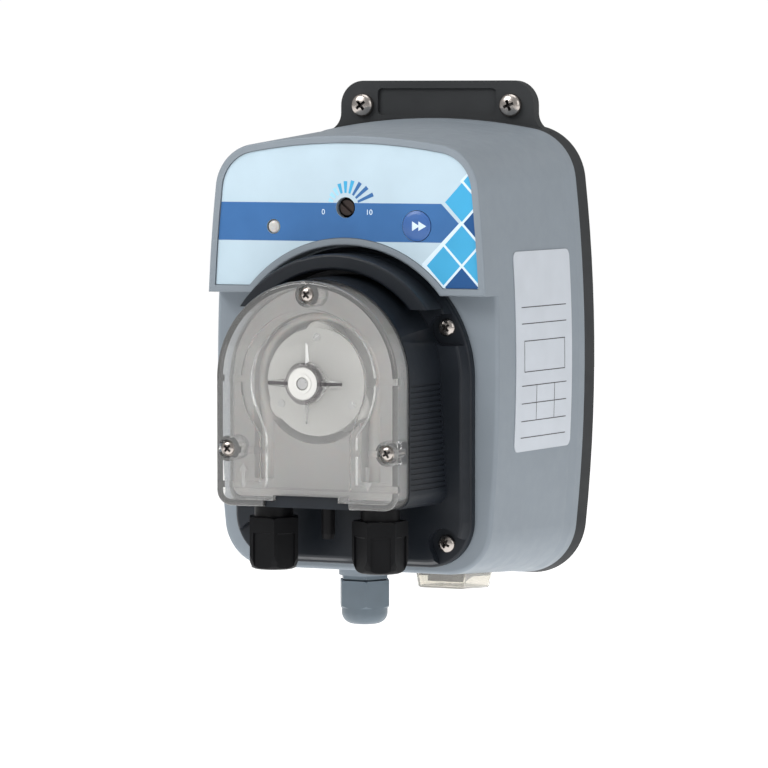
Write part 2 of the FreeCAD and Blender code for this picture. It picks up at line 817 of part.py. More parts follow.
def make_pump_head():
    plate = shrunk(0.0, plate_front_y, face_y)
    plate = rounded(plate, 1.2, lambda e: lies_at_y(e, plate_front_y))
    platform = platform_loft()
    platform = rounded(platform, 1.4, lambda e: lies_at_y(e, platform_front_y))
    platform = platform.cut([pocket(x, z) for x, z in head_screw_points if z < 0])
    collar = drum(plate_half_width - collar_inset, collar_front_y, plate_front_y - 1)
    collar = collar.cut(drum(collar_inner_radius, collar_front_y - 1, plate_front_y))
    collar = rounded(collar, 1.2, lambda e: lies_at_y(e, collar_front_y))
    collar = collar.cut(block(-far, far, collar_front_y - 1, 0, -far, collar_end_z))
    platform = fused([platform, collar]).cut([channel(1), channel(-1)])
    body = body_loft(0.0, body_front_y, platform_front_y + 0.1)
    body = body.cut(side_grooves(1) + side_grooves(-1) + [channel(1), channel(-1)])
    head = fused([plate, platform, body])
    bosses = [drum(lid_boss_radius(), body_front_y, body_floor_y + 1, x, z) for x, z in lid_screw_points]
    head = head.cut(head_cavity())
    inside = body_loft(-0.4, body_front_y, platform_front_y)
    head = head.fuse([boss.common(inside) for boss in bosses])
    y0, y1 = body_front_y - tongue_reach, body_front_y + 0.1
    tongue = block(-tongue_half, tongue_half, y0, y1, body_bottom_z, body_bottom_z + tongue_height)
    shelf = block(-tongue_wide_half, tongue_wide_half, y0, y1, body_bottom_z, body_bottom_z + shelf_height)
    head = head.fuse([tongue, shelf])
    foot_z0, foot_z1 = body_bottom_z - 1, body_bottom_z + body_wall + 1
    cuts = head_cores()
    cuts += [drum(case_screw[0] + hole_fit, plate_front_y - 3, face_y + 1, x, z)
             for x, z in head_screw_points]
    cuts += [drum(lid_screw[0] + run_fit, body_front_y - 1, body_front_y + 11, x, z)
             for x, z in lid_screw_points]
    cuts.append(drum(nose_radius + 0.1, nose_front_y - 0.2, face_y + 1))
    cuts.append(drum(shaft_radius + 0.4, body_floor_y - 2, face_y))
    cuts += [post(thread_radius - 0.95, foot_z0, foot_z1, side * tube_path_radius, tube_y)
             for side in (-1, 1)]
    cuts.append(post(1.3, foot_z0, foot_z1, 0, drain_y))
    cuts.append(gasket_ring(face_y - 1.1, face_y + 1, gasket_inset - hole_fit,
                            gasket_inset + gasket_width + hole_fit))
    return head.cut(cuts).removeSplitter()


def lid_boss_radius():
    return lid_screw[0] + 2.5


def platform_loft():
    """Raised field on the flange, with drafted sides."""
    def section(y, inset):
        return arch_outline(plate_half_width - inset, plate_bottom_z + inset, plate_corner - inset, y)
    return Part.makeLoft([section(platform_front_y, platform_inset), section(plate_front_y + 0.1, 0.9)],
                         True, True)


def head_cores():
    """Hollows in the back of the head: a shallow one all over, a deep one behind the floor."""
    shallow_y = plate_front_y + 1.4
    deep_y = body_floor_y + body_wall
    deep_half = body_half_front - body_wall
    shallow = shrunk(9.5, shallow_y, face_y + 1)
    deep = head_prism(deep_half, body_bottom_z + body_wall, body_corner, deep_y, face_y + 1)
    keep = [drum(nose_radius + 3.5, deep_y - 1, face_y + 2)]
    keep += [block(-far, far, deep_y - 1, face_y + 2, z - 1.2, z + 1.2) for z in (0.0, body_bottom_z + 8.6)]
    keep += [block(-1.2, 1.2, deep_y - 1, face_y + 2, -far, far)]
    return [shallow.cut(keep), deep.cut(keep)]


def gasket_ring(y0, y1, outer, inner):
    return shrunk(outer, y0, y1).cut(shrunk(inner, y0, y1))


def make_head_gasket():
    return gasket_ring(face_y - 1.0, face_y, gasket_inset, gasket_inset + gasket_width)


def make_head_screws():
    return Part.Compound([pan_screw(case_screw, x, plate_front_y, z, face_y + 10)
                          for x, z in head_screw_points])


# Raceway insert, rotor and tube

def race_opening(y0, y1):
    """Round track for the tube with a leg down each side, and an island between the legs."""
    inner = tube_path_radius - leg_wall
    leg_foot_z = shoulder_z + 0.6
    legs = [block(min(side * inner, side * race_radius), max(side * inner, side * race_radius),
                  y0, y1, leg_foot_z, 0) for side in (-1, 1)]
    island_top = drum(roller_orbit + roller_radius + roller_clearance, y0, y1)
    upper = drum(race_radius, y0, y1).cut(block(-far, far, y0, y1, -far, 0))
    return fused([upper, island_top] + legs)


def make_raceway():
    gap = 0.25
    half = body_half_front - body_wall - gap
    insert = head_prism(half, body_bottom_z + body_wall + 0.6, body_corner - 2, race_front_y, body_floor_y,
                        arch_rise)
    insert = insert.cut(race_opening(race_front_y - 1, race_floor_y))
    insert = insert.cut([drum(lid_boss_radius() + gap, race_front_y - 1, body_floor_y + 1, x, z)
                         for x, z in lid_screw_points])
    insert = insert.cut(drum(shaft_radius + 0.6, race_front_y, body_floor_y + 1))
    insert = insert.cut([post(thread_radius - 0.3, body_bottom_z, shoulder_z + 0.6, side * tube_path_radius,
                              tube_y) for side in (-1, 1)])
    solids = sorted(insert.Solids, key=lambda s: s.Volume)
    return solids[-1].removeSplitter()


def roller_places():
    places = []
    for index in range(roller_count):
        angle = math.radians(90 + index * 360 / roller_count)
        places.append((roller_orbit * math.cos(angle), roller_orbit * math.sin(angle)))
    return places


def make_roller(index):
    x, z = roller_places()[index]
    half = roller_length / 2
    roller = drum(roller_radius, tube_y - half, tube_y + half, x, z)
    ends = [e for e in roller.Edges if lies_at_y(e, tube_y - half) or lies_at_y(e, tube_y + half)]
    roller = roller.makeChamfer(0.6, ends)
    return roller.cut(drum(pin_radius + run_fit, tube_y - 20, tube_y + 20, x, z))


def disc_planes():
    inner = roller_length / 2 + seat_gap
    outer = inner + disc_thickness
    return (tube_y - outer, tube_y - inner), (tube_y + inner, tube_y + outer)


def rotor_disc(y0, y1, scalloped):
    """Round plate with the pin holes; the rear one is scalloped between the rollers."""
    disc = drum(disc_radius, y0, y1)
    if scalloped:
        for index in range(roller_count):
            angle = math.radians(30 + index * 360 / roller_count)
            reach = disc_radius + 9.0
            disc = disc.cut(drum(11.0, y0 - 1, y1 + 1, reach * math.cos(angle), reach * math.sin(angle)))
    holes = [drum(pin_radius + 0.02, y0 - 1, y1 + 1, x, z) for x, z in roller_places()]
    return disc.cut(holes)


def make_rotor_rear_disc():
    front, rear = disc_planes()
    hub = drum(hub_radius, front[1], rear[0] + 0.1)
    disc = fused([rotor_disc(rear[0], rear[1], True), hub])
    return disc.cut(drum(shaft_radius + 0.02, front[0] - 5, rear[1] + 5))


def make_rotor_front_disc():
    front, rear = disc_planes()
    collar = drum(hub_radius - 1.3, front[0] - 1.5, front[0] + 0.1)
    disc = fused([rotor_disc(front[0], front[1], False), collar])
    return disc.cut(drum(shaft_radius + 0.02, front[0] - 5, front[1] + 5))


def make_roller_pins():
    front, rear = disc_planes()
    return Part.Compound([drum(pin_radius, front[0] - 0.4, rear[1] + 0.4, x, z)
                          for x, z in roller_places()])


def make_drive_shaft():
    shaft = drum(shaft_radius, shaft_front_y, shaft_back_y)
    return shaft.makeChamfer(0.4, [e for e in shaft.Edges if lies_at_y(e, shaft_front_y)])


def make_pump_tube():
    """Hose over the rotor: open at its ends, pressed flat where the rollers meet it."""
    foot = shoulder_z + seat_gap
    over = Part.makeTorus(tube_path_radius, tube_radius, V(0, tube_y, 0), V(0, 1, 0))
    over = over.common(block(-far, far, -far, 0, 0, far))
    legs = [post(tube_radius, foot, 0, side * tube_path_radius, tube_y) for side in (-1, 1)]
    tube = fused([over] + legs)
    half = roller_length / 2 + 1
    press = [drum(roller_radius + 0.12, tube_y - half, tube_y + half, x, z) for x, z in roller_places()]
    bores = [post(tube_bore_radius, foot - 1, foot + 18.7, side * tube_path_radius, tube_y)
             for side in (-1, 1)]
    return tube.cut(press + bores).removeSplitter()


# Clear cover

def keyhole(outer, y0, y1):
    """Keyhole shaped plate: round about the shaft, then a narrower neck below."""
    neck = key_neck + (outer - key_inner) * 0.6
    start_x = math.sqrt(outer ** 2 - key_shoulder_z ** 2)
    funnel = outline([(-start_x, key_shoulder_z), (start_x, key_shoulder_z), (neck, key_waist_z),
                      (neck, key_foot_z), (-neck, key_foot_z), (-neck, key_waist_z)])
    return drum(outer, y0, y1).fuse(prism(funnel, y0, y1))


def star_rib(turn):
    """Tapered rib on the front of the cover, from the boss outwards."""
    root, tip = lid_boss_root - 1.6, lid_rib_reach
    height = lid_front_y - lid_boss_front_y - 0.5
    def section(x, half, rise):
        corners = [V(x, lid_front_y + 0.3, -half), V(x, lid_front_y + 0.3, half),
                   V(x, lid_front_y - rise, half * 0.6), V(x, lid_front_y - rise, -half * 0.6)]
        return Part.makePolygon(corners + corners[:1])
    rib = Part.makeLoft([section(root, 1.9, height), section(tip, 1.0, 0.9)], True, True)
    rib.rotate(V(0, 0, 0), V(0, 1, 0), turn)
    return rib


def make_clear_cover():
    outer = head_prism(lid_half_width, lid_bottom_z, lid_corner, lid_front_y, body_front_y, arch_rise)
    outer = rounded(outer, lid_round, lambda e: lies_at_y(e, lid_front_y))
    inner = head_prism(lid_half_width - lid_wall, lid_bottom_z + lid_wall, lid_corner - lid_wall,
                       lid_front_y + lid_wall, body_front_y + 1, arch_rise)
    cover = outer.cut(inner)
    inner_y = lid_front_y + lid_wall
    sockets = [drum(5.0, lid_front_y + 0.8, body_front_y, x, z).common(outer) for x, z in lid_screw_points]
    web_half = lid_half_width - 1
    webs = [block(-web_half, web_half, inner_y - 0.1, inner_y + key_depth, z - 1.3, z + 1.3)
            for z in (1.2, lid_screw_z - 0.3, body_bottom_z + 8.4)]
    webs = [web.cut(keyhole(key_outer - 0.5, inner_y - 5, inner_y + 10)) for web in webs]
    ring = keyhole(key_outer, inner_y - 0.1, inner_y + key_depth)
    ring = ring.cut(keyhole(key_inner, inner_y - 1, inner_y + key_depth + 1))
    boss = turned_y([(0, lid_front_y + 0.4), (lid_boss_root, lid_front_y + 0.4), (lid_boss_root, lid_front_y),
                     (lid_boss_tip, lid_boss_front_y), (0, lid_boss_front_y)])
    stem = drum(bush_radius + 1.75, inner_y - 0.1, inner_y + 3.0)
    ribs = [star_rib(90 * i) for i in range(4)]
    cover = cover.fuse(sockets + webs + [ring, boss, stem] + ribs)
    cuts = [drum(lid_screw[1] + 0.5, lid_front_y - 1, lid_seat_y, x, z) for x, z in lid_screw_points]
    cuts += [drum(lid_screw[0] + hole_fit, lid_front_y, body_front_y + 1, x, z) for x, z in lid_screw_points]
    cuts.append(drum(bush_radius + run_fit, lid_boss_front_y - 1, inner_y + 4))
    cuts.append(drum(bush_cap_radius + 0.1, lid_boss_front_y - 1, lid_boss_front_y + 1.2))
    notch = seat_gap
    for half, height in ((tongue_half, tongue_height), (tongue_wide_half, shelf_height)):
        cuts.append(block(-half - notch, half + notch, lid_front_y - 1, body_front_y + 1,
                          lid_bottom_z - 1, body_bottom_z + height + notch))
    return cover.cut(cuts).removeSplitter()


def make_cover_screws():
    return Part.Compound([pan_screw(lid_screw, x, lid_seat_y, z, body_front_y + 10)
                          for x, z in lid_screw_points])


def make_cover_bush():
    """Bearing bush with a wide white cap that shows in the cover's boss."""
    inner_y = lid_front_y + lid_wall
    bush = drum(bush_radius, lid_boss_front_y + 1, inner_y + 2.6)
    bush = bush.fuse(drum(bush_cap_radius, lid_boss_front_y + 0.3, lid_boss_front_y + 1.2))
    bush = bush.fuse(drum(bush_cap_radius - 2.4, lid_boss_front_y, lid_boss_front_y + 0.4))
    return bush.cut(drum(shaft_radius + run_fit, lid_boss_front_y - 5, inner_y + 10))


# Hose connections

def sleeve_end_z():
    return nut_bottom_z + nut_floor + 0.9


def make_connector(side):
    """Spigot for the pump tube above, shoulder in the head's foot, threaded sleeve below."""
    profile = [
        (1.2, spigot_top_z), (spigot_radius - 0.4, spigot_top_z), (spigot_radius, spigot_top_z - 1.5),
        (spigot_radius, shoulder_z), (thread_radius - 1.0, shoulder_z), (thread_radius - 1.0, body_bottom_z),
        (thread_radius, body_bottom_z), (thread_radius, sleeve_end_z() + 0.6),
        (thread_radius - 0.6, sleeve_end_z()), (2.6, sleeve_end_z()), (1.2, sleeve_end_z() + 1.1)]
    return turned_z(profile, side * tube_path_radius, tube_y)


def make_nut(side, turn):
    """Hexagonal hose nut: plain collar on top, fluted flats below, rounded foot."""
    x = side * tube_path_radius
    nut = hexagon(nut_flats, nut_bottom_z, nut_top_z, x, tube_y, turn)
    reach = nut_flats / math.sqrt(3)
    foot = turned_z([(0, nut_bottom_z), (reach - 3.4, nut_bottom_z), (reach - 2.2, nut_bottom_z + 0.5),
                     (reach - 1.3, nut_bottom_z + 1.5), (reach - 0.5, nut_bottom_z + 3.6),
                     (reach + 0.1, nut_bottom_z + 6.2), (reach + 0.2, nut_top_z - 0.8),
                     (reach - 0.6, nut_top_z), (0, nut_top_z)], x, tube_y)
    nut = nut.common(foot)
    flute_top = nut_top_z - nut_collar
    flutes = []
    for index in range(6):
        flute = block(x + nut_flats / 2 - 0.7, x + nut_flats, tube_y - 3.9, tube_y + 3.9,
                      nut_bottom_z - 1, flute_top)
        flute = rounded(flute, 0.6, lambda e: lies_at_z(e, flute_top) and e.BoundBox.YLength > 5)
        flute.rotate(V(x, tube_y, 0), V(0, 0, 1), turn + 30 + 60 * index)
        flutes.append(flute)
    bore = post(thread_radius + 0.1, nut_bottom_z + nut_floor, nut_top_z + 1, x, tube_y)
    mouth = post(hose_radius, nut_bottom_z - 1, nut_bottom_z + nut_floor + 1, x, tube_y)
    return nut.cut(flutes + [bore, mouth])


def make_drain_nozzle():
    root_z = body_bottom_z - 1.5
    profile = [(1.25, drain_tip_z), (drain_radius - 0.5, drain_tip_z), (drain_radius, drain_tip_z + 2),
               (drain_radius, root_z), (4.2, root_z), (4.2, body_bottom_z), (1.25, body_bottom_z)]
    return turned_z(profile, 0, drain_y)


# Cable gland

def make_gland_body():
    flange = hexagon(gland_flange_flats, gland_pad_z - gland_flange, gland_pad_z, gland_x, gland_y,
                     gland_turn)
    sleeve_top = gland_pad_top_z + 7.2
    sleeve = post(gland_thread, gland_sleeve_z, sleeve_top, gland_x, gland_y)
    body = fused([flange, sleeve])
    return body.cut([post(cable_radius + 0.4, gland_sleeve_z - 4, sleeve_top + 5, gland_x, gland_y),
                     post(seal_seat_radius, gland_sleeve_z - 4, seal_top_z() + 0.1, gland_x, gland_y)])


def seal_top_z():
    return gland_sleeve_z + 7.0


def make_gland_locknut():
    top = gland_pad_top_z
    nut = hexagon(22.0, top, top + 4.5, gland_x, gland_y, 0)
    return nut.cut(post(gland_thread + run_fit, top - 1, top + 5, gland_x, gland_y))


def make_gland_seal():
    top, low = seal_top_z(), gland_sleeve_z
    outer = seal_seat_radius - 0.1
    profile = [(cable_radius, low - 1.4), (cable_radius, top), (outer, top), (outer, low + 1.0),
               (outer - 0.9, low - 1.4)]
    return turned_z(profile, gland_x, gland_y)


def make_gland_nut():
    """Domed nut: hexagon on top, round dome with a cable mouth below."""
    reach = gland_flats / math.sqrt(3)
    hexed = hexagon(gland_flats, gland_nut_hex_z, gland_nut_top_z, gland_x, gland_y, gland_turn)
    low, top = gland_nut_hex_z, gland_nut_top_z
    shape = turned_z([(0, low), (reach - 1.2, low), (reach + 0.1, low + 1.2), (reach + 0.1, top - 0.6),
                      (reach - 0.5, top), (0, top)], gland_x, gland_y)
    dome_r = gland_flats / 2 - 0.3
    dome = post(dome_r, gland_tip_z, gland_nut_hex_z + 0.2, gland_x, gland_y)
    dome = rounded(dome, 4.6, lambda e: lies_at_z(e, gland_tip_z) and e.BoundBox.XLength > 1)
    nut = fused([hexed.common(shape), dome])
    cone_z = gland_sleeve_z - 0.4
    bore = turned_z([(0, cone_z - 4.6), (cable_radius + 0.6, cone_z - 4.6), (gland_thread + 0.1, cone_z),
                     (gland_thread + 0.1, gland_nut_top_z + 1), (0, gland_nut_top_z + 1)], gland_x, gland_y)
    return nut.cut([bore, post(cable_radius + 0.5, gland_tip_z - 1, cone_z, gland_x, gland_y)])


# Mains rocker switch

def make_switch_body():
    bezel = block(-bezel_width / 2, bezel_width / 2, -bezel_length / 2, bezel_length / 2, -bezel_height, 0)
    bezel = rounded(bezel, 2.2, lambda e: e.BoundBox.ZLength > 1 and e.BoundBox.XLength < 0.01)
    box = block(-switch_width / 2, switch_width / 2, -switch_length / 2, switch_length / 2, -0.1,
                switch_depth)
    tab_x, tab_y = switch_width * 0.24, switch_length * 0.3
    lugs = [block(x - 2.4, x + 2.4, y - 0.4, y + 0.4, switch_depth - 0.1, switch_depth + tab_length)
            for x in (-tab_x, tab_x) for y in (-tab_y, tab_y)]
    body = fused([bezel, box] + lugs)
    half = switch_width / 2 - switch_wall
    well = block(-half, half, -9.6, 9.6, -3, 6.5)
    bore = sideways(trunnion_radius + run_fit, half + trunnion_reach + run_fit)
    return on_bottom_wall(body.cut([well, bore]))


def sideways(radius, half):
    """Round bar across the switch, on the rocker's pivot line."""
    return Part.makeCylinder(radius, 2 * half, V(-half, 0, rocker_pivot_z), V(1, 0, 0))


def make_switch_rocker():
    """Rocker with two paddles and a round trunnion on each side, one paddle down."""
    half = switch_width / 2 - switch_wall - 0.2
    profile = [V(-half, -9.0, -2.3), V(-half, 0, -1.3), V(-half, 9.0, -2.3), V(-half, 8.6, 0.6),
               V(-half, 3.0, 4.6), V(-half, -3.0, 4.6), V(-half, -8.6, 0.6)]
    rocker = Part.Face(Part.makePolygon(profile + profile[:1])).extrude(V(2 * half, 0, 0))
    rocker.rotate(V(0, 0, rocker_pivot_z), V(1, 0, 0), rocker_tilt)
    return on_bottom_wall(fused([rocker, sideways(trunnion_radius, half + trunnion_reach)]))


def cap_block(half_x, half_y, top, bottom, corner):
    """Block whose four sides draw in by the boot's draft towards the bottom."""
    rings = []
    for z in (top, bottom):
        inset = boot_draft * (top - z) / (top - bottom)
        x, y = half_x - inset, half_y - inset
        rings.append(Part.makePolygon([V(-x, -y, z), V(x, -y, z), V(x, y, z), V(-x, y, z), V(-x, -y, z)]))
    return rounded(Part.makeLoft(rings, True, True), corner, lambda e: e.BoundBox.ZLength > 1)


def make_switch_boot():
    """Clear cap clipped over the bezel."""
    outer = cap_block(boot_width / 2, boot_length / 2, 0, -boot_height, 3.0)
    outer = rounded(outer, 1.3, lambda e: lies_at_z(e, -boot_height))
    inner = cap_block(boot_width / 2 - boot_wall, boot_length / 2 - boot_wall, 0,
                      -boot_height + boot_wall, 3.0 - boot_wall)
    return on_bottom_wall(outer.cut(inner))


# Gear motor

def gear(teeth, y0, y1, x, z, phase=0.0):
    """Spur gear with straight-flanked teeth; phase turns it, in degrees."""
    pitch_r = gear_module * teeth / 2
    outer_r, root_r = pitch_r + gear_addendum * gear_module, pitch_r - gear_dedendum * gear_module
    step = 2 * math.pi / teeth
    half_pitch = math.pi * gear_module / 4 - gear_backlash / 2
    slant = math.tan(math.radians(flank_angle))
    points = []
    for index in range(teeth):
        middle = index * step + math.radians(phase)
        for radius, sign in ((root_r, -1), (outer_r, -1), (outer_r, 1), (root_r, 1)):
            half = half_pitch - slant * (radius - pitch_r)
            angle = middle + sign * half / radius
            points.append((x + radius * math.cos(angle), z + radius * math.sin(angle)))
    return prism(outline(points), y0, y1)


def gearbox_outline(inset, y0, y1):
    box = block(box_left + inset, box_right - inset, y0, y1, box_bottom + inset, box_top - inset)
    return rounded(box, 5.0 - inset * 0.4, lambda e: runs_along_y(e, 1.0))


def gearbox_corners(y0, y1):
    return [drum(3.4, y0, y1, x, z).common(gearbox_outline(0.5, y0, y1)) for x, z in gearbox_screw_points]


def gearbox_holes():
    return [drum(small_screw[0] + hole_fit, gearbox_front_y - 5, gearbox_back_y + 5, x, z)
            for x, z in gearbox_screw_points]


def make_gearbox_front():
    shell = gearbox_outline(0, gearbox_front_y, gearbox_split_y)
    shell = shell.cut(gearbox_outline(gearbox_wall, gearbox_front_y + gearbox_wall, gearbox_split_y + 1))
    nose = drum(nose_radius, nose_front_y, gearbox_front_y + 0.1)
    seat = drum(3.5, gearbox_front_y + 1, gearbox_front_y + gearbox_wall + 0.6, idler_x, idler_z)
    front = fused([shell, nose, seat] + gearbox_corners(gearbox_front_y + 0.5, gearbox_split_y))
    cuts = gearbox_holes()
    cuts.append(drum(bearing_radius + run_fit, nose_front_y - 1, nose_front_y + bearing_length))
    cuts.append(drum(shaft_radius + 0.4, nose_front_y - 1, gearbox_split_y))
    cuts.append(drum(pin_radius + run_fit, gearbox_front_y + 1.2, gearbox_split_y, idler_x, idler_z))
    return front.cut(cuts).removeSplitter()


def make_gearbox_rear():
    shell = gearbox_outline(0, gearbox_split_y, gearbox_back_y)
    shell = shell.cut(gearbox_outline(gearbox_wall, gearbox_split_y - 1, gearbox_back_y - gearbox_wall))
    seat = drum(4.5, gearbox_back_y - gearbox_wall - 0.5, gearbox_back_y - 1)
    rear = fused([shell, seat] + gearbox_corners(gearbox_split_y, gearbox_back_y - 0.5))
    cuts = gearbox_holes()
    cuts.append(drum(shaft_radius + run_fit, gearbox_split_y, shaft_back_y + 1.6))
    cuts.append(drum(pin_radius + run_fit, gearbox_split_y, gearbox_back_y - 1.2, idler_x, idler_z))
    cuts.append(drum(3.0, gearbox_split_y - 1, gearbox_back_y + 5, 0, motor_z))
    return rear.cut(cuts).removeSplitter()


def make_output_bearing():
    ring = drum(bearing_radius, nose_front_y + 0.05, nose_front_y + bearing_length)
    return ring.cut(drum(shaft_radius + run_fit, nose_front_y - 5, nose_front_y + 10))


def gear_layers():
    """Depths of the output stage and the motor stage."""
    return (gearbox_front_y + 3.4, gearbox_front_y + 8.8), (gearbox_front_y + 9.4, gearbox_front_y + 14.6)


def mesh_phases():
    """Turns that set a tooth of one gear in a gap of the next along their line of centres."""
    line_ab = 45.0
    line_bm = 135.0
    output = line_ab
    small = line_ab + 180 + 180 / pinion_teeth
    big = line_bm
    pinion = line_bm + 180 + 180 / pinion_teeth
    return output, small, big, pinion


def make_output_gear():
    layer = gear_layers()[0]
    phases = mesh_phases()
    wheel = gear(gear_teeth, layer[0], layer[1], 0, 0, phases[0])
    return wheel.cut(drum(shaft_radius + 0.02, layer[0] - 5, layer[1] + 5))


def make_idler_gear():
    front, rear = gear_layers()
    phases = mesh_phases()
    small = gear(pinion_teeth, front[0] - 0.2, rear[0] + 0.1, idler_x, idler_z, phases[1])
    big = gear(gear_teeth, rear[0], rear[1], idler_x, idler_z, phases[2])
    return fused([small, big]).cut(drum(pin_radius + run_fit, front[0] - 5, rear[1] + 5, idler_x, idler_z))


def make_idler_arbor():
    return drum(pin_radius, gearbox_front_y + 1.3, gearbox_back_y - 1.3, idler_x, idler_z)


def make_motor_pinion():
    rear = gear_layers()[1]
    phases = mesh_phases()
    pinion = gear(pinion_teeth, rear[0] - 0.2, rear[1] + 0.6, 0, motor_z, phases[3])
    return pinion.cut(drum(motor_shaft_radius + 0.02, rear[0] - 5, rear[1] + 5, 0, motor_z))


def make_motor():
    can = drum(motor_radius, gearbox_back_y, motor_back_y, 0, motor_z)
    can = rounded(can, 2.0, lambda e: lies_at_y(e, motor_back_y) and e.BoundBox.XLength > 1)
    parts = [can, drum(2.9, gearbox_back_y - 2.3, gearbox_back_y + 0.1, 0, motor_z),
             drum(4.0, motor_back_y - 0.1, motor_back_y + 2, 0, motor_z)]
    return fused(parts)


def make_motor_shaft():
    return drum(motor_shaft_radius, gear_layers()[1][0] - 0.5, gearbox_back_y - 2.4, 0, motor_z)


def make_gearbox_screws():
    return Part.Compound([back_screw(small_screw, x, gearbox_back_y, z, gearbox_front_y - 2.0)
                          for x, z in gearbox_screw_points])


# Transformer

def make_transformer():
    x, z = transformer_x, transformer_z
    y1 = transformer_back_y - strap_thickness
    y0 = y1 - core_depth
    core = block(x - core_width / 2, x + core_width / 2, y0, y1, z - core_height / 2, z + core_height / 2)
    windings = block(x - winding_width / 2, x + winding_width / 2, y0 - winding_reach, y1 - 3,
                     z - winding_height / 2, z + winding_height / 2)
    windings = rounded(windings, 2.5, lambda e: e.BoundBox.YLength > 10)
    strap_half = strap_screw_x + 5
    strap = block(x - strap_half, x + strap_half, y1, transformer_back_y, z - strap_height / 2,
                  z + strap_height / 2)
    strap = rounded(strap, 4.0, lambda e: runs_along_y(e, 1.0))
    body = fused([core, windings, strap])
    return body.cut([drum(small_screw[0] + hole_fit, y1 - 5, transformer_back_y + 5, *point)
                     for point in strap_screw_points()])


def make_transformer_screws():
    seat = transformer_back_y - strap_thickness
    return Part.Compound([pan_screw(small_screw, x, seat, z, -cover_back_wall - 2)
                          for x, z in strap_screw_points()])


pieces = {
    "front_housing": make_front_housing,
    "rear_cover": make_rear_cover,
    "housing_gasket": make_housing_gasket,
    "rear_cover_screws": make_rear_cover_screws,
    "wall_screws": make_wall_screws,
    "panel_overlay": make_panel_overlay,
    "side_label": make_side_label,
    "circuit_board": make_circuit_board,
    "board_screws": make_board_screws,
    "status_led": make_status_led,
    "trimmer_body": make_trimmer_body,
    "trimmer_shaft": make_trimmer_shaft,
    "prime_button": make_prime_button,
    "button_switch": make_button_switch,
    "pump_head": make_pump_head,
    "head_gasket": make_head_gasket,
    "head_screws": make_head_screws,
    "raceway": make_raceway,
    "drive_shaft": make_drive_shaft,
    "rotor_rear_disc": make_rotor_rear_disc,
    "rotor_front_disc": make_rotor_front_disc,
    "roller_pins": make_roller_pins,
    "roller_1": lambda: make_roller(0),
    "roller_2": lambda: make_roller(1),
    "roller_3": lambda: make_roller(2),
    "pump_tube": make_pump_tube,
    "clear_cover": make_clear_cover,
    "cover_screws": make_cover_screws,
    "cover_bush": make_cover_bush,
    "inlet_connector": lambda: make_connector(-1),
    "outlet_connector": lambda: make_connector(1),
    "inlet_nut": lambda: make_nut(-1, -64.0),
    "outlet_nut": lambda: make_nut(1, -34.0),
    "drain_nozzle": make_drain_nozzle,
    "gland_body": make_gland_body,
    "gland_locknut": make_gland_locknut,
    "gland_seal": make_gland_seal,
    "gland_nut": make_gland_nut,
    "switch_body": make_switch_body,
    "switch_rocker": make_switch_rocker,
    "switch_boot": make_switch_boot,
    "gearbox_front": make_gearbox_front,
    "gearbox_rear": make_gearbox_rear,
    "output_bearing": make_output_bearing,
    "output_gear": make_output_gear,
    "idler_gear": make_idler_gear,
    "idler_arbor": make_idler_arbor,
    "motor_pinion": make_motor_pinion,
    "motor_shaft": make_motor_shaft,
    "motor": make_motor,
    "gearbox_screws": make_gearbox_screws,
    "transformer": make_transformer,
    "transformer_screws": make_transformer_screws,
}

os.makedirs("parts", exist_ok=True)
for name, make in pieces.items():
    shape = make()
    shape.translate(V(0, 0, -wall_screw_height))
    shape.exportStep("parts/" + name + ".step")
    print(name, len(shape.Solids), round(shape.Volume, 1), shape.isValid())
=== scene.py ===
import math
import bmesh
import bpy
from mathutils import Matrix, Vector
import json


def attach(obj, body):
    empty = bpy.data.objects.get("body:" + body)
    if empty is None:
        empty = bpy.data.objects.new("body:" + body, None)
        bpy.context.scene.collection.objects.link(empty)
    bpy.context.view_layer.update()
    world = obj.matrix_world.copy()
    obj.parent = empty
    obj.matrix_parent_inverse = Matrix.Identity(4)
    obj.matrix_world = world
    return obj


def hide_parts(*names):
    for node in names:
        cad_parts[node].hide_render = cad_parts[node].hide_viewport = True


# Wall-hung dosing pump: camera, studio, finishes and the small details on the solids.
# Lengths in the dictionaries are millimetres about the pump axis, as the pump's own drawing has them.

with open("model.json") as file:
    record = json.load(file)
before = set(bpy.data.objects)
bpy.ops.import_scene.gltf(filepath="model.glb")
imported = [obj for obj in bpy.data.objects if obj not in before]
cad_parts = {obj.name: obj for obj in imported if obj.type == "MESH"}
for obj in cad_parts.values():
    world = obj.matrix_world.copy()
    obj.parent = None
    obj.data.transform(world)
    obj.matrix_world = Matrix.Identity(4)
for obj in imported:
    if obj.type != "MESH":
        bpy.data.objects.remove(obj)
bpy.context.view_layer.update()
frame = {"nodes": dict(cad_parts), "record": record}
cadNodes = frame["nodes"]
axisHeight = -107.0  # pump axis below the wall screws, in millimetres


def place(x, y, z):
    return Vector((x * 0.001, y * 0.001, (z + axisHeight) * 0.001))


def moveToPump(bm):
    # from millimetres about the pump axis to the shared frame
    for vert in bm.verts:
        vert.co = place(*vert.co)


def newPiece(name, bm, material, body, smoothAngle):
    mesh = bpy.data.meshes.new(name)
    bm.to_mesh(mesh)
    bm.free()
    mesh.polygons.foreach_set("use_smooth", [True] * len(mesh.polygons))
    mesh.set_sharp_from_angle(angle=math.radians(smoothAngle))
    piece = bpy.data.objects.new(name, mesh)
    bpy.context.scene.collection.objects.link(piece)
    mesh.materials.append(material)
    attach(piece, body)
    return piece


# Camera, at the photograph's angle: place in metres, angles in degrees
view = {"place": (0.7545, -1.7256, 0.0022), "turn": 24.34, "down": 3.55, "lens": 214.7, "sensor": 36.0,
        "clip": (0.05, 60.0)}


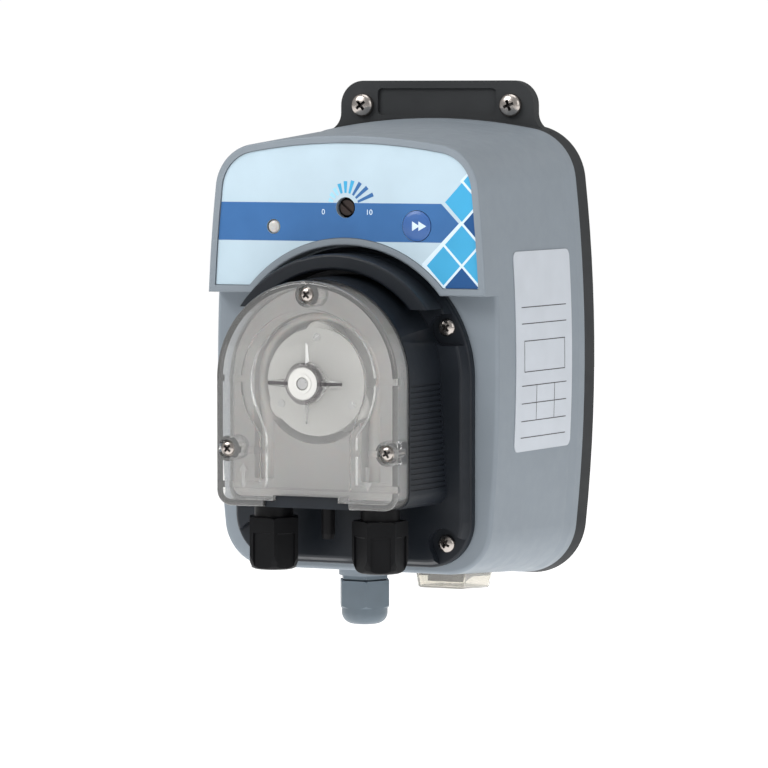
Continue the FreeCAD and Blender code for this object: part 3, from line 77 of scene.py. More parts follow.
def addCamera():
    turn, down = math.radians(view["turn"]), math.radians(view["down"])
    back = Vector((math.sin(turn) * math.cos(down), -math.cos(turn) * math.cos(down), math.sin(down)))
    lens = bpy.data.cameras.new("productCamera")
    lens.lens = view["lens"]
    lens.sensor_width = view["sensor"]
    lens.clip_start, lens.clip_end = view["clip"]
    lens.dof.use_dof = False
    camera = bpy.data.objects.new("productCamera", lens)
    camera.location = view["place"]
    camera.rotation_euler = (-back).to_track_quat("-Z", "Y").to_euler()
    bpy.context.scene.collection.objects.link(camera)
    bpy.context.scene.camera = camera


addCamera()
print("camera placed")

# Finishes. Colours are linear; grain is the size of the surface texture in millimetres and depth its height.
# Cloud is how far the colour drifts and gloss how strongly it reflects. See-through ones have bend and clear
# for the light, edge for where a wall seen at a slant starts to get painted shade and how dark it gets, and a
# flag for the painted shade on the arms and boss.
finishes = {
    "grey_plastic": {"kind": "plastic", "colour": (0.235, 0.270, 0.305), "rough": 0.50, "grain": 0.35,
                     "depth": 0.012, "cloud": 0.02, "gloss": 0.32},
    "dark_plastic": {"kind": "plastic", "colour": (0.048, 0.050, 0.052), "rough": 0.5, "grain": 0.4,
                     "depth": 0.014, "cloud": 0.06, "gloss": 0.04},
    "head_plastic": {"kind": "plastic", "colour": (0.0100, 0.0130, 0.0180), "rough": 0.38, "grain": 0.35,
                     "depth": 0.010, "cloud": 0.12, "gloss": 0.28},
    "nut_plastic": {"kind": "plastic", "colour": (0.0058, 0.0060, 0.0068), "rough": 0.42, "grain": 0.5,
                    "depth": 0.010, "cloud": 0.15, "gloss": 0.10},
    "black_plastic": {"kind": "plastic", "colour": (0.0075, 0.0075, 0.0085), "rough": 0.42, "grain": 0.4,
                      "depth": 0.008, "cloud": 0.12, "gloss": 0.12},
    "gland_plastic": {"kind": "plastic", "colour": (0.125, 0.160, 0.190), "rough": 0.40, "grain": 0.5,
                      "depth": 0.010, "cloud": 0.08, "gloss": 0.45},
    "pale_plastic": {"kind": "resin", "colour": (0.340, 0.325, 0.314), "rough": 0.42, "grain": 0.5,
                     "depth": 0.008, "cloud": 0.05, "gloss": 0.45},
    "white_plastic": {"kind": "plastic", "colour": (0.66, 0.655, 0.63), "rough": 0.38, "grain": 0.5,
                      "depth": 0.006, "cloud": 0.04, "gloss": 0.5},
    "roller_plastic": {"kind": "plastic", "colour": (0.70, 0.69, 0.66), "rough": 0.32, "grain": 0.6,
                       "depth": 0.004, "cloud": 0.04, "gloss": 0.5},
    "button_blue": {"kind": "plastic", "colour": (0.040, 0.125, 0.365), "rough": 0.30, "grain": 0.6,
                    "depth": 0.003, "cloud": 0.06, "gloss": 0.5},
    "board_laminate": {"kind": "plastic", "colour": (0.02, 0.13, 0.05), "rough": 0.35, "grain": 1.2,
                       "depth": 0.006, "cloud": 0.2, "gloss": 0.5},
    "led_resin": {"kind": "resin", "colour": (0.52, 0.515, 0.50), "rough": 0.25, "grain": 1.5,
                  "depth": 0.004, "cloud": 0.10, "gloss": 0.5},
    "bronze_shaft": {"kind": "plastic", "colour": (0.026, 0.015, 0.012), "rough": 0.38, "grain": 0.4,
                     "depth": 0.01, "cloud": 0.3, "gloss": 0.4},
    "printed_film": {"kind": "film", "colour": (0.510, 0.640, 0.725), "rough": 0.36, "grain": 0.8,
                     "depth": 0.002, "cloud": 0.025, "gloss": 0.25},
    "label_foil": {"kind": "film", "colour": (0.545, 0.582, 0.632), "rough": 0.38, "grain": 0.7,
                   "depth": 0.002, "cloud": 0.03, "gloss": 0.3},
    "seal_rubber": {"kind": "plastic", "colour": (0.012, 0.012, 0.012), "rough": 0.7, "grain": 0.5,
                    "depth": 0.015, "cloud": 0.2, "gloss": 0.3},
    "tube_rubber": {"kind": "resin", "colour": (0.50, 0.475, 0.45), "rough": 0.38, "grain": 1.5,
                    "depth": 0.006, "cloud": 0.08, "gloss": 0.45},
    "clear_plastic": {"kind": "clear", "colour": (0.975, 0.975, 0.965), "rough": 0.025, "grain": 6.0,
                      "depth": 0.004, "bend": 1.45, "clear": 0.89, "edge": (0.55, 0.12),
                      "marksAndPaintedShade": True},
    "clear_vinyl": {"kind": "clear", "colour": (0.95, 0.92, 0.85), "rough": 0.09, "grain": 5.0,
                    "depth": 0.02, "bend": 1.40, "clear": 0.86, "edge": (0.6, 0.5), "marksAndPaintedShade": False},
    # darker steel for the walls of the screw crosses: painted shade in the recesses
    "painted_shade_steel": {"kind": "metal", "colour": (0.115, 0.105, 0.10), "rough": 0.5, "grain": 0.3,
                   "depth": 0.01, "cloud": 0.04},
    "stainless": {"kind": "metal", "colour": (0.47, 0.43, 0.40), "rough": 0.24, "grain": 0.3,
                  "depth": 0.004, "cloud": 0.04},
    "steel": {"kind": "metal", "colour": (0.56, 0.56, 0.56), "rough": 0.28, "grain": 0.25,
              "depth": 0.004, "cloud": 0.04},
    "brass": {"kind": "metal", "colour": (0.72, 0.50, 0.20), "rough": 0.25, "grain": 0.3,
              "depth": 0.003, "cloud": 0.04},
    "zinc_plate": {"kind": "metal", "colour": (0.50, 0.50, 0.51), "rough": 0.36, "grain": 0.8,
                   "depth": 0.004, "cloud": 0.04},
    "laminated_steel": {"kind": "metal", "colour": (0.25, 0.25, 0.27), "rough": 0.45, "grain": 0.5,
                        "depth": 0.02, "cloud": 0.04},
    "print_blue": {"kind": "film", "colour": (0.047, 0.152, 0.372), "rough": 0.34, "grain": 0.8,
                   "depth": 0.002, "cloud": 0.05, "gloss": 0.25},
    "print_cyan": {"kind": "film", "colour": (0.048, 0.385, 0.670), "rough": 0.34, "grain": 0.8,
                   "depth": 0.002, "cloud": 0.05, "gloss": 0.45},
    "print_navy": {"kind": "film", "colour": (0.007, 0.078, 0.252), "rough": 0.32, "grain": 0.8,
                   "depth": 0.002, "cloud": 0.05, "gloss": 0.45},
    "print_sky": {"kind": "film", "colour": (0.36, 0.70, 0.90), "rough": 0.32, "grain": 0.8,
                  "depth": 0.002, "cloud": 0.03, "gloss": 0.45},
    "print_white": {"kind": "film", "colour": (0.70, 0.83, 0.93), "rough": 0.36, "grain": 0.8,
                    "depth": 0.002, "cloud": 0.02, "gloss": 0.45},
    "print_ink": {"kind": "film", "colour": (0.035, 0.035, 0.04), "rough": 0.4, "grain": 0.6,
                  "depth": 0.002, "cloud": 0.10, "gloss": 0.4},
}

# What all finishes share: sizes of the clouds and handling marks in millimetres, and how soft resin is
texture = {"cloudSize": 14.0, "cloudDetail": 2.0, "markSize": 5.0, "markDetail": 4.0, "grainDetail": 1.0,
           "roughSpread": (0.88, 1.14), "noiseSpread": (0.3, 0.7), "resinShare": 0.25, "resinDepth": 2.0,
           "slantBlend": 0.5, "slantEnd": 0.98}


def noiseNode(tree, coords, size, detail):
    noise = tree.nodes.new("ShaderNodeTexNoise")
    noise.inputs["Scale"].default_value = 1000.0 / size
    noise.inputs["Detail"].default_value = detail
    tree.links.new(coords.outputs["Object"], noise.inputs["Vector"])
    return noise


def spreadNode(tree, source, low, high):
    spread = tree.nodes.new("ShaderNodeMapRange")
    spread.inputs["From Min"].default_value = texture["noiseSpread"][0]
    spread.inputs["From Max"].default_value = texture["noiseSpread"][1]
    spread.inputs["To Min"].default_value = low
    spread.inputs["To Max"].default_value = high
    tree.links.new(source, spread.inputs["Value"])
    return spread


# Painted shade on the cover's front: the level arms and the wall of the boss are darkened in the clear finish
# by their place
coverPaintedShade = {"front": -131.45, "armHalf": 0.7, "armReach": 16.5, "armPaintedShade": (0.10, 0.09, 0.10),
              "ring": 7.3, "ringHalf": 0.8, "ringPaintedShade": (0.34, 0.32, 0.34)}


def mathNode(tree, how, first, second=0.0, third=0.0):
    node = tree.nodes.new("ShaderNodeMath")
    node.operation = how
    for index, given in enumerate((first, second, third)):
        if isinstance(given, float):
            node.inputs[index].default_value = given
        else:
            tree.links.new(given, node.inputs[index])
    return node.outputs["Value"]


def tintNode(tree, amount, source, tint):
    mix = tree.nodes.new("ShaderNodeMixRGB")
    mix.inputs["Color2"].default_value = (*tint, 1.0)
    tree.links.new(amount, mix.inputs["Fac"])
    tree.links.new(source, mix.inputs["Color1"])
    return mix.outputs["Color"]


def paintCoverShade(tree, coords, source):
    # painted shade: the clear finish is darkened by place on the level arms and round the boss, for the dark
    # look their walls give as they bend the view away
    metres = {name: coverPaintedShade[name] * 0.001 for name in ("front", "armHalf", "armReach", "ring", "ringHalf")}
    parts = tree.nodes.new("ShaderNodeSeparateXYZ")
    tree.links.new(coords.outputs["Object"], parts.inputs["Vector"])
    across = parts.outputs["X"]
    up = mathNode(tree, "SUBTRACT", parts.outputs["Z"], axisHeight * 0.001)
    front = mathNode(tree, "LESS_THAN", parts.outputs["Y"], metres["front"])
    level = mathNode(tree, "COMPARE", up, 0.0, metres["armHalf"])
    arm = mathNode(tree, "MULTIPLY", level, mathNode(tree, "COMPARE", across, 0.0, metres["armReach"]))
    acrossSquare = mathNode(tree, "MULTIPLY", across, across)
    upSquare = mathNode(tree, "MULTIPLY", up, up)
    away = mathNode(tree, "SQRT", mathNode(tree, "ADD", acrossSquare, upSquare))
    ring = mathNode(tree, "COMPARE", away, metres["ring"], metres["ringHalf"])
    # a ring of painted shade round the boss, then bars of painted shade along the level arms
    source = tintNode(tree, mathNode(tree, "MULTIPLY", front, ring), source, coverPaintedShade["ringPaintedShade"])
    return tintNode(tree, mathNode(tree, "MULTIPLY", front, arm), source, coverPaintedShade["armPaintedShade"])


def cloudColour(tree, coords, look):
    # slow clouds in the colour, as moulded and printed surfaces have
    clouds = noiseNode(tree, coords, texture["cloudSize"], texture["cloudDetail"])
    ramp = tree.nodes.new("ShaderNodeValToRGB")
    low, high = ramp.color_ramp.elements
    low.position, high.position = texture["noiseSpread"]
    low.color = (*[c * (1 - look["cloud"]) for c in look["colour"]], 1.0)
    high.color = (*[min(1.0, c * (1 + look["cloud"])) for c in look["colour"]], 1.0)
    tree.links.new(clouds.outputs["Fac"], ramp.inputs["Fac"])
    return ramp.outputs["Color"]


def clearColourWithSlantShade(tree, coords, look):
    # painted shade: a clear wall's colour is darkened where the eye meets it at a slant, standing in for the
    # dark edge its bent light gives
    slant = tree.nodes.new("ShaderNodeLayerWeight")
    slant.inputs["Blend"].default_value = texture["slantBlend"]
    start, dark = look["edge"]
    ramp = tree.nodes.new("ShaderNodeValToRGB")
    face, rim = ramp.color_ramp.elements
    face.position, rim.position = start, texture["slantEnd"]
    face.color = (*look["colour"], 1.0)
    rim.color = (*[c * dark for c in look["colour"]], 1.0)
    tree.links.new(slant.outputs["Facing"], ramp.inputs["Fac"])
    # the cover's finish also gets the painted shade on its arms and boss
    if look["marksAndPaintedShade"]:
        return paintCoverShade(tree, coords, ramp.outputs["Color"])
    return ramp.outputs["Color"]


def makeFinish(slotName, look):
    material = bpy.data.materials.new(slotName.replace("_", ""))
    material.use_nodes = True
    tree = material.node_tree
    shader = tree.nodes["Principled BSDF"]
    coords = tree.nodes.new("ShaderNodeTexCoord")
    shader.inputs["Base Color"].default_value = (*look["colour"], 1.0)
    colourFrom = clearColourWithSlantShade if look["kind"] == "clear" else cloudColour
    tree.links.new(colourFrom(tree, coords, look), shader.inputs["Base Color"])
    # handling marks in the gloss
    marksAndPaintedShade = noiseNode(tree, coords, texture["markSize"], texture["markDetail"])
    smooth, dull = texture["roughSpread"]
    rough = spreadNode(tree, marksAndPaintedShade.outputs["Fac"], look["rough"] * smooth, look["rough"] * dull)
    tree.links.new(rough.outputs["Result"], shader.inputs["Roughness"])
    # surface texture
    grain = noiseNode(tree, coords, look["grain"], texture["grainDetail"])
    bump = tree.nodes.new("ShaderNodeBump")
    bump.inputs["Strength"].default_value = 1.0
    bump.inputs["Distance"].default_value = look["depth"] * 0.001
    tree.links.new(grain.outputs["Fac"], bump.inputs["Height"])
    tree.links.new(bump.outputs["Normal"], shader.inputs["Normal"])
    if look["kind"] == "metal":
        shader.inputs["Metallic"].default_value = 1.0
    elif look["kind"] == "clear":
        shader.inputs["Transmission Weight"].default_value = look["clear"]
        shader.inputs["IOR"].default_value = look["bend"]
    else:
        shader.inputs["Specular IOR Level"].default_value = look["gloss"]
    if look["kind"] == "resin":
        shader.inputs["Subsurface Weight"].default_value = texture["resinShare"]
        shader.inputs["Subsurface Scale"].default_value = texture["resinDepth"] * 0.001
    return material


materials = {name: makeFinish(name, look) for name, look in finishes.items()}
nodeSlots = {row["node"]: row["material_slot"] for row in frame["record"]["subparts"]}
for nodeName, node in cadNodes.items():
    finish = materials[nodeSlots[nodeName]]
    if node.material_slots:
        for held in node.material_slots:
            held.material = finish
    else:
        node.data.materials.append(finish)
print("finishes given to", len(cadNodes), "solids")

# Round and flat building blocks, in millimetres about the pump axis


def turnedSkin(bm, profile, origin, along, segments):
    # profile is (radius, distance along the axis); the axis starts at origin
    along = Vector(along).normalized()
    side = along.orthogonal().normalized()
    up = along.cross(side)
    rings = []
    for radius, far in profile:
        centre = Vector(origin) + along * far
        if radius < 1e-6:
            rings.append([bm.verts.new(centre)])
        else:
            rings.append([bm.verts.new(centre + side * radius * math.cos(2 * math.pi * i / segments)
                                       + up * radius * math.sin(2 * math.pi * i / segments))
                          for i in range(segments)])
    for first, second in zip(rings, rings[1:]):
        for i in range(segments):
            j = (i + 1) % segments
            if len(first) == 1 and len(second) == 1:
                continue
            if len(first) == 1:
                bm.faces.new((first[0], second[i], second[j]))
            elif len(second) == 1:
                bm.faces.new((first[i], second[0], first[j]))
            else:
                bm.faces.new((first[i], second[i], second[j], first[j]))


def platePrism(bm, outline, y0, y1):
    # flat shape from (x, z) corners, between two depths
    near = [bm.verts.new((x, y0, z)) for x, z in outline]
    far = [bm.verts.new((x, y1, z)) for x, z in outline]
    bm.faces.new(near)
    bm.faces.new(list(reversed(far)))
    for i in range(len(outline)):
        j = (i + 1) % len(outline)
        bm.faces.new((near[j], near[i], far[i], far[j]))


def meshFrom(bm, name):
    bmesh.ops.recalc_face_normals(bm, faces=bm.faces)
    mesh = bpy.data.meshes.new(name)
    bm.to_mesh(mesh)
    bm.free()
    return mesh


def combined(base, tool, how):
    # one boolean step between two millimetre meshes
    first = bpy.data.objects.new("shapeBase", base)
    second = bpy.data.objects.new("shapeTool", tool)
    for item in (first, second):
        bpy.context.scene.collection.objects.link(item)
    step = first.modifiers.new("step", "BOOLEAN")
    step.object = second
    step.operation = how
    step.solver = "EXACT"
    bpy.context.view_layer.update()
    result = bpy.data.meshes.new_from_object(first.evaluated_get(bpy.context.evaluated_depsgraph_get()))
    for item in (first, second):
        bpy.data.objects.remove(item)
    return result


# Screws: pan heads with a tapered cross, and a thread where the shank shows
wallScrew = {"shank": 2.4, "core": 1.75, "head": 4.8, "height": 3.3, "slot": 1.3, "reach": 2.7,
             "pitch": 1.6, "neck": 5.4, "point": 5.0, "turns": (38.0, 20.0)}
caseScrew = {"shank": 1.75, "core": 1.3, "head": 3.45, "height": 2.4, "slot": 1.1, "reach": 2.3,
             "pitch": 1.35, "neck": 0.0, "point": 3.0, "turns": (10.0, 25.0, 62.0, 40.0)}
lidScrew = {"shank": 1.5, "core": 1.1, "head": 3.1, "height": 2.2, "slot": 1.05, "reach": 2.15,
            "pitch": 1.2, "neck": 0.0, "point": 2.5, "turns": (48.0, 42.0, 30.0)}

# The cross in every head, in shares of the head's height, reach and slot; its tool starts above the dome
crossShape = {"deep": 0.72, "inward": 0.45, "foot": 0.32, "mouth": 1.15, "flare": 1.1, "above": 1.2,
              "wallReach": 1.1, "seatClear": 0.2}

# The dome of every head, in shares of its height and radius
domeShape = {"flat": 0.42, "rise": 0.58, "brow": 0.34, "round": 0.98, "edge": 0.12, "steps": 9,
             "segments": 56}

# The thread of every screw: its tip and root in shares, the small steps in millimetres
threadShape = {"tip": 0.25, "tipLong": 0.3, "root": 0.26, "crestHalf": 0.06, "sink": 0.08, "lift": 0.05,
               "neckEnd": 0.4, "neckSink": 0.05, "under": 0.2, "perTurn": 24}


def solidBoxes(nodeName):
    # low and high corner of each separate solid in a node, in millimetres about the pump axis
    bm = bmesh.new()
    bm.from_mesh(cadNodes[nodeName].data)
    bmesh.ops.remove_doubles(bm, verts=bm.verts, dist=1e-6)
    waiting = set(bm.verts)
    boxes = []
    while waiting:
        front = [waiting.pop()]
        found = []
        while front:
            vert = front.pop()
            found.append(vert.co * 1000.0)
            for edge in vert.link_edges:
                other = edge.other_vert(vert)
                if other in waiting:
                    waiting.remove(other)
                    front.append(other)
        low = [min(point[k] for point in found) for k in range(3)]
        high = [max(point[k] for point in found) for k in range(3)]
        low[2] -= axisHeight
        high[2] -= axisHeight
        boxes.append((low, high))
    bm.free()
    return sorted(boxes, key=lambda box: (round(box[0][0], 1), round(box[0][2], 1)))


def crossWing(size, turn):
    # one tapered wing of the cross, driven into the head along +Y
    bm = bmesh.new()
    shape = crossShape
    wide, half = size["reach"] * shape["mouth"], size["slot"] / 2 * shape["flare"]
    narrow, foot = size["reach"] * shape["inward"], size["slot"] * shape["foot"]
    deep = size["height"] * shape["deep"]
    spin = math.radians(turn)
    corners = []
    for y, long, thick in ((-shape["above"], wide, half), (deep, narrow, foot)):
        for x, z in ((-long, -thick), (long, -thick), (long, thick), (-long, thick)):
            corners.append(bm.verts.new((x * math.cos(spin) - z * math.sin(spin), y,
                                         x * math.sin(spin) + z * math.cos(spin))))
    top, bottom = corners[:4], corners[4:]
    bm.faces.new(top)
    bm.faces.new(list(reversed(bottom)))
    for i in range(4):
        bm.faces.new((top[(i + 1) % 4], top[i], bottom[i], bottom[(i + 1) % 4]))
    return meshFrom(bm, "crossWing")


def domeHeight(size, angle):
    # how far towards -Y the dome's skin stands, at this angle from its top
    return -size["height"] * (domeShape["flat"] + domeShape["rise"] * math.cos(angle))


def screwHead(size, turn):
    # dome towards -Y, seat at y = 0
    dome = domeShape
    high, radius = size["height"], size["head"]
    profile = [(0.0, -high)]
    for step in range(1, dome["steps"]):
        angle = math.radians(step * 90 / dome["steps"])
        profile.append((radius * dome["round"] * math.sin(angle), domeHeight(size, angle)))
    edge = dome["edge"]
    profile += [(radius, -high * dome["brow"]), (radius, -edge), (radius - edge, 0.0), (0.0, 0.0)]
    bm = bmesh.new()
    turnedSkin(bm, profile, (0, 0, 0), (0, 1, 0), dome["segments"])
    head = meshFrom(bm, "screwHead")
    for wing in (turn, turn + 90.0):
        tool = crossWing(size, wing)
        tool.transform(Matrix.Translation((0, -high, 0)))
        head = combined(head, tool, "DIFFERENCE")
    # walls of the cross, below the dome, take the second finish, a darker steel that is painted shade in the
    # recess
    for face in head.polygons:
        out = math.hypot(face.center.x, face.center.z)
        lean = math.asin(min(1.0, out / (radius * dome["round"])))
        sunk = domeHeight(size, lean) + edge < face.center.y < -crossShape["seatClear"]
        if sunk and out < size["reach"] * crossShape["wallReach"]:
            face.material_index = 1
    return head


def screwThread(bm, size, start, end, point):
    # plain neck, core with a running thread, and a pointed tip
    t = threadShape
    core, crest, pitch, perTurn = size["core"], size["shank"], size["pitch"], t["perTurn"]
    tip = end - t["tipLong"]
    turnedSkin(bm, [(0.0, start), (core, start), (core, end - point), (core * t["tip"], tip), (0.0, end)],
               (0, 0, 0), (0, 1, 0), perTurn)
    neck = size["neck"]
    if neck > 0:
        plain = (core + crest) / 2
        turnedSkin(bm, [(plain, start), (plain, neck), (core - t["neckSink"], neck + t["neckEnd"])],
                   (0, 0, 0), (0, 1, 0), perTurn)
    start = max(start, neck)
    total = int((end - point * t["tip"] - start) / pitch * perTurn)
    root, flat = pitch * t["root"], t["crestHalf"]
    previous = None
    for i in range(total + 1):
        angle = 2 * math.pi * i / perTurn
        y = start + pitch * i / perTurn
        fade = min(1.0, i / perTurn, (total - i) / perTurn)
        slim = min(1.0, max(t["tip"], (tip - y) / point))
        inner = core * slim - t["sink"]
        outer = inner + t["lift"] + (crest - core) * slim * fade
        ring = []
        for radius, shift in ((inner, -root), (outer, -flat), (outer, flat), (inner, root)):
            ring.append(bm.verts.new((radius * math.cos(angle), y + shift, radius * math.sin(angle))))
        if previous:
            for a in range(3):
                bm.faces.new((previous[a], previous[a + 1], ring[a + 1], ring[a]))
            bm.faces.new((previous[3], previous[0], ring[0], ring[3]))
        else:
            bm.faces.new(ring)
        previous = ring
    bm.faces.new(list(reversed(previous)))


def addScrews(name, node, size, facing=1.0):
    # one screw for each solid of the node; facing -1 puts the heads at the back
    bm = bmesh.new()
    for (low, high), turn in zip(solidBoxes(node), size["turns"]):
        part = bmesh.new()
        part.from_mesh(screwHead(size, turn))
        screwThread(part, size, -threadShape["under"], high[1] - low[1] - size["height"], size["point"])
        bmesh.ops.recalc_face_normals(part, faces=part.faces)
        seat = low[1] + size["height"]
        if facing < 0:
            bmesh.ops.rotate(part, cent=(0, 0, 0), matrix=Matrix.Rotation(math.pi, 3, "Z"), verts=part.verts)
            seat = high[1] - size["height"]
        middle = ((low[0] + high[0]) / 2, seat, (low[2] + high[2]) / 2)
        bmesh.ops.translate(part, vec=middle, verts=part.verts)
        joined = bpy.data.meshes.new("screwPart")
        part.to_mesh(joined)
        part.free()
        bm.from_mesh(joined)
    moveToPump(bm)
    piece = newPiece(name, bm, materials["stainless"], "case", smoothAngle=40.0)
    # the second finish is the painted shade in the crosses
    piece.data.materials.append(materials["painted_shade_steel"])
    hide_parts(node)


addScrews("wallScrews", "wall_screws", wallScrew)
addScrews("headScrews", "head_screws", caseScrew)
addScrews("coverScrews", "cover_screws", lidScrew)
addScrews("rearScrews", "rear_cover_screws", caseScrew, -1.0)
print("screws made")

# Pump tube: hose bent over the rotor, pressed flat on the rollers' path and round in its legs
tubeShape = {"radius": 4.0, "bore": 2.4, "boreTop": -21.0, "depth": -111.9, "foot": -38.7, "race": 26.88,
             "roller": 6.46, "orbit": 17.4, "gap": 0.06, "thinnest": 1.5, "legSteps": 34, "arcSteps": 72,
             "softSteps": 14, "ringSize": 40}


def squeezedHalf(drop):
    # half thickness left between the path of the rollers and the race, so that they pass at every turn
    t = tubeShape
    sweep = t["orbit"] + t["roller"]
    left = 2 * t["radius"]
    if drop < sweep:
        left = min(left, t["race"] - math.sqrt(sweep ** 2 - drop ** 2) - t["gap"])
    return max(t["thinnest"], left / 2)


def addPumpTube():
    t = tubeShape
    stations = []  # (angle on the arc, drop below the axis)
    legSteps, arcSteps, ringSize = t["legSteps"], t["arcSteps"], t["ringSize"]
    for i in range(legSteps):
        stations.append((0.0, -t["foot"] * (1 - i / legSteps)))
    for i in range(arcSteps + 1):
        stations.append((i * 180.0 / arcSteps, 0.0))
    for i in range(1, legSteps + 1):
        stations.append((180.0, -t["foot"] * i / legSteps))
    tight = [squeezedHalf(drop) for _, drop in stations]
    soft = list(tight)
    for _ in range(t["softSteps"]):  # the wall bends over about a diameter beyond the rollers
        soft = [min(tight[i], (soft[max(i - 1, 0)] + soft[i] * 2 + soft[min(i + 1, len(soft) - 1)]) / 4)
                for i in range(len(soft))]
    bm = bmesh.new()
    rings = []
    for (angle, drop), half in zip(stations, soft):
        wide = half + (2 * math.pi * t["radius"] - 2 * math.pi * half) / 4
        centre = t["race"] - half
        turn = math.radians(angle)
        outward = Vector((math.cos(turn), 0, math.sin(turn)))
        middle = outward * centre + Vector((0, t["depth"], -drop))
        ring = []
        for k in range(ringSize):
            a = 2 * math.pi * k / ringSize
            flat = wide - half
            y = half * math.sin(a) + (flat if math.sin(a) > 1e-6 else -flat if math.sin(a) < -1e-6 else 0.0)
            ring.append(bm.verts.new(middle + outward * half * math.cos(a) + Vector((0, y, 0))))
        rings.append(ring)
    for first, second in zip(rings, rings[1:]):
        for k in range(ringSize):
            bm.faces.new((first[k], first[(k + 1) % ringSize], second[(k + 1) % ringSize], second[k]))
    for end, side in ((rings[0], 1.0), (rings[-1], -1.0)):  # open ends with their bore
        x = side * (t["race"] - t["radius"])
        mouth = [bm.verts.new((x + side * t["bore"] * math.cos(2 * math.pi * k / ringSize),
                               t["depth"] + t["bore"] * math.sin(2 * math.pi * k / ringSize), t["foot"]))
                 for k in range(ringSize)]
        inner = [bm.verts.new((v.co.x, v.co.y, t["boreTop"])) for v in mouth]
        for k in range(ringSize):
            j = (k + 1) % ringSize
            bm.faces.new((end[k], end[j], mouth[j], mouth[k]))
            bm.faces.new((mouth[k], mouth[j], inner[j], inner[k]))
        bm.faces.new(inner)
    bmesh.ops.recalc_face_normals(bm, faces=bm.faces)
    moveToPump(bm)
    tube = newPiece("pumpTube", bm, materials["tube_rubber"], "case", smoothAngle=50.0)
    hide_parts("pump_tube")


addPumpTube()
print("pump tube made")

# Print on the control panel: a stripe with an arrow end, and lozenges on a white ground. The ground's steps
# count from the arrow's tip, and the spots are columns and rows of the lozenge grid from its first place.
panelPrint = {"face": -94.3, "thick": 0.04, "sink": 0.02, "over": 0.02, "reach": 0.6,
              "stripe": (53.75, 68.85), "start": -60.0, "arrow": (41.0, 49.3), "short": 0.9,
              "pitch": (7.75, 8.25), "gap": 0.684, "first": (49.7, 61.25), "groundThick": 0.03,
              "groundSteps": ((-0.8, 0.0), (7.6, 8.1), (-0.4, 16.4), (4.6, 21.6)),
              "groundEdge": ((62.0, 84.0), (62.0, 30.0), (36.5, 30.0), (32.8, 45.4), (41.0, 53.6)),
              "cyanSpots": ((0, 1), (0, -1), (-1, -2), (1, -2), (1, 2)), "navySpots": ((1, 0), (0, -3))}


def filmTool():
    # the film node itself, grown through the print so that the print keeps to it
    source = cadNodes["panel_overlay"].data
    bm = bmesh.new()
    bm.from_mesh(source)
    for vert in bm.verts:
        x, y, z = vert.co * 1000.0
        vert.co = (x, y, z - axisHeight)
    lowY = min(v.co.y for v in bm.verts)
    highY = max(v.co.y for v in bm.verts)
    for vert in bm.verts:
        side = -1 if vert.co.y < (lowY + highY) / 2 else 1
        vert.co.y = panelPrint["face"] + side * panelPrint["reach"]
    bmesh.ops.remove_doubles(bm, verts=bm.verts, dist=0.001)
    return meshFrom(bm, "filmTool")


def addPrint(name, shapes, finish, lift=0.0, thick=panelPrint["thick"]):
    bm = bmesh.new()
    front = panelPrint["face"] - thick - lift
    for outline in shapes:
        platePrism(bm, outline, front, panelPrint["face"] + panelPrint["sink"] - lift * 0.5)
    flat = combined(meshFrom(bm, name), filmTool(), "INTERSECT")
    bm = bmesh.new()
    bm.from_mesh(flat)
    moveToPump(bm)
    newPiece(name, bm, materials[finish], "case", smoothAngle=20.0)


def lozenge(cx, cz, halfX, halfZ):
    return [(cx - halfX, cz), (cx, cz - halfZ), (cx + halfX, cz), (cx, cz + halfZ)]


def addPanelPrint():
    low, high = panelPrint["stripe"]
    base, tip = panelPrint["arrow"]
    start, point = panelPrint["start"], tip - panelPrint["short"]
    px, pz = panelPrint["pitch"]
    cx, cz = panelPrint["first"]
    stripe = [(start, low), (base, low), (point, cz), (base, high), (start, high)]
    addPrint("stripePrint", [stripe], "print_blue")
    ground = [(tip + x, cz + z) for x, z in panelPrint["groundSteps"]]
    addPrint("lozengeGround", [ground + list(panelPrint["groundEdge"])], "print_white", 0.0,
             panelPrint["groundThick"])
    halfX, halfZ = px - panelPrint["gap"], pz - panelPrint["gap"]
    for name, tone, spots in (("lozengeCyan", "print_cyan", "cyanSpots"),
                              ("lozengeNavy", "print_navy", "navySpots")):
        shapes = [lozenge(cx + column * px, cz + row * pz, halfX, halfZ) for column, row in panelPrint[spots]]
        addPrint(name, shapes, tone, panelPrint["over"])


addPanelPrint()
print("panel printed")

# Setting scale round the adjuster: bars that grow to the right in three tones, and plain end numbers
scale = {"centre": (0.0, 67.0), "inner": 5.8, "shortest": 2.0, "longest": 7.2, "width": 1.6, "taper": 0.55,
         "sweep": (156.0, 24.0), "tones": ("Sky", "Cyan", "Blue"), "barsEach": 3, "lift": 0.02,
         "numbers": (("scaleLow", "0", -9.6), ("scaleHigh", "10", 10.2)), "numberHeight": 65.2,
         "numberSize": 3.0, "numberThick": 0.02, "numberLift": 0.045}


def scaleBar(share):
    # corners of the bar that stands at this share of the sweep
    cx, cz = scale["centre"]
    first, last = scale["sweep"]
    turn = math.radians(first + (last - first) * share)
    inner = scale["inner"]
    outer = inner + scale["shortest"] + (scale["longest"] - scale["shortest"]) * share
    out = Vector((math.cos(turn), math.sin(turn)))
    side = Vector((-out.y, out.x)) * (scale["width"] / 2)
    foot = side * scale["taper"]
    corners = (out * inner - foot, out * outer - side, out * outer + side, out * inner + foot)
    return [(cx + corner.x, cz + corner.y) for corner in corners]


def addScale():
    each = scale["barsEach"]
    last = len(scale["tones"]) * each - 1
    for index, tone in enumerate(scale["tones"]):
        shapes = [scaleBar(bar / last) for bar in range(index * each, (index + 1) * each)]
        addPrint("scaleBars" + tone, shapes, "print_" + tone.lower(), scale["lift"])


addScale()


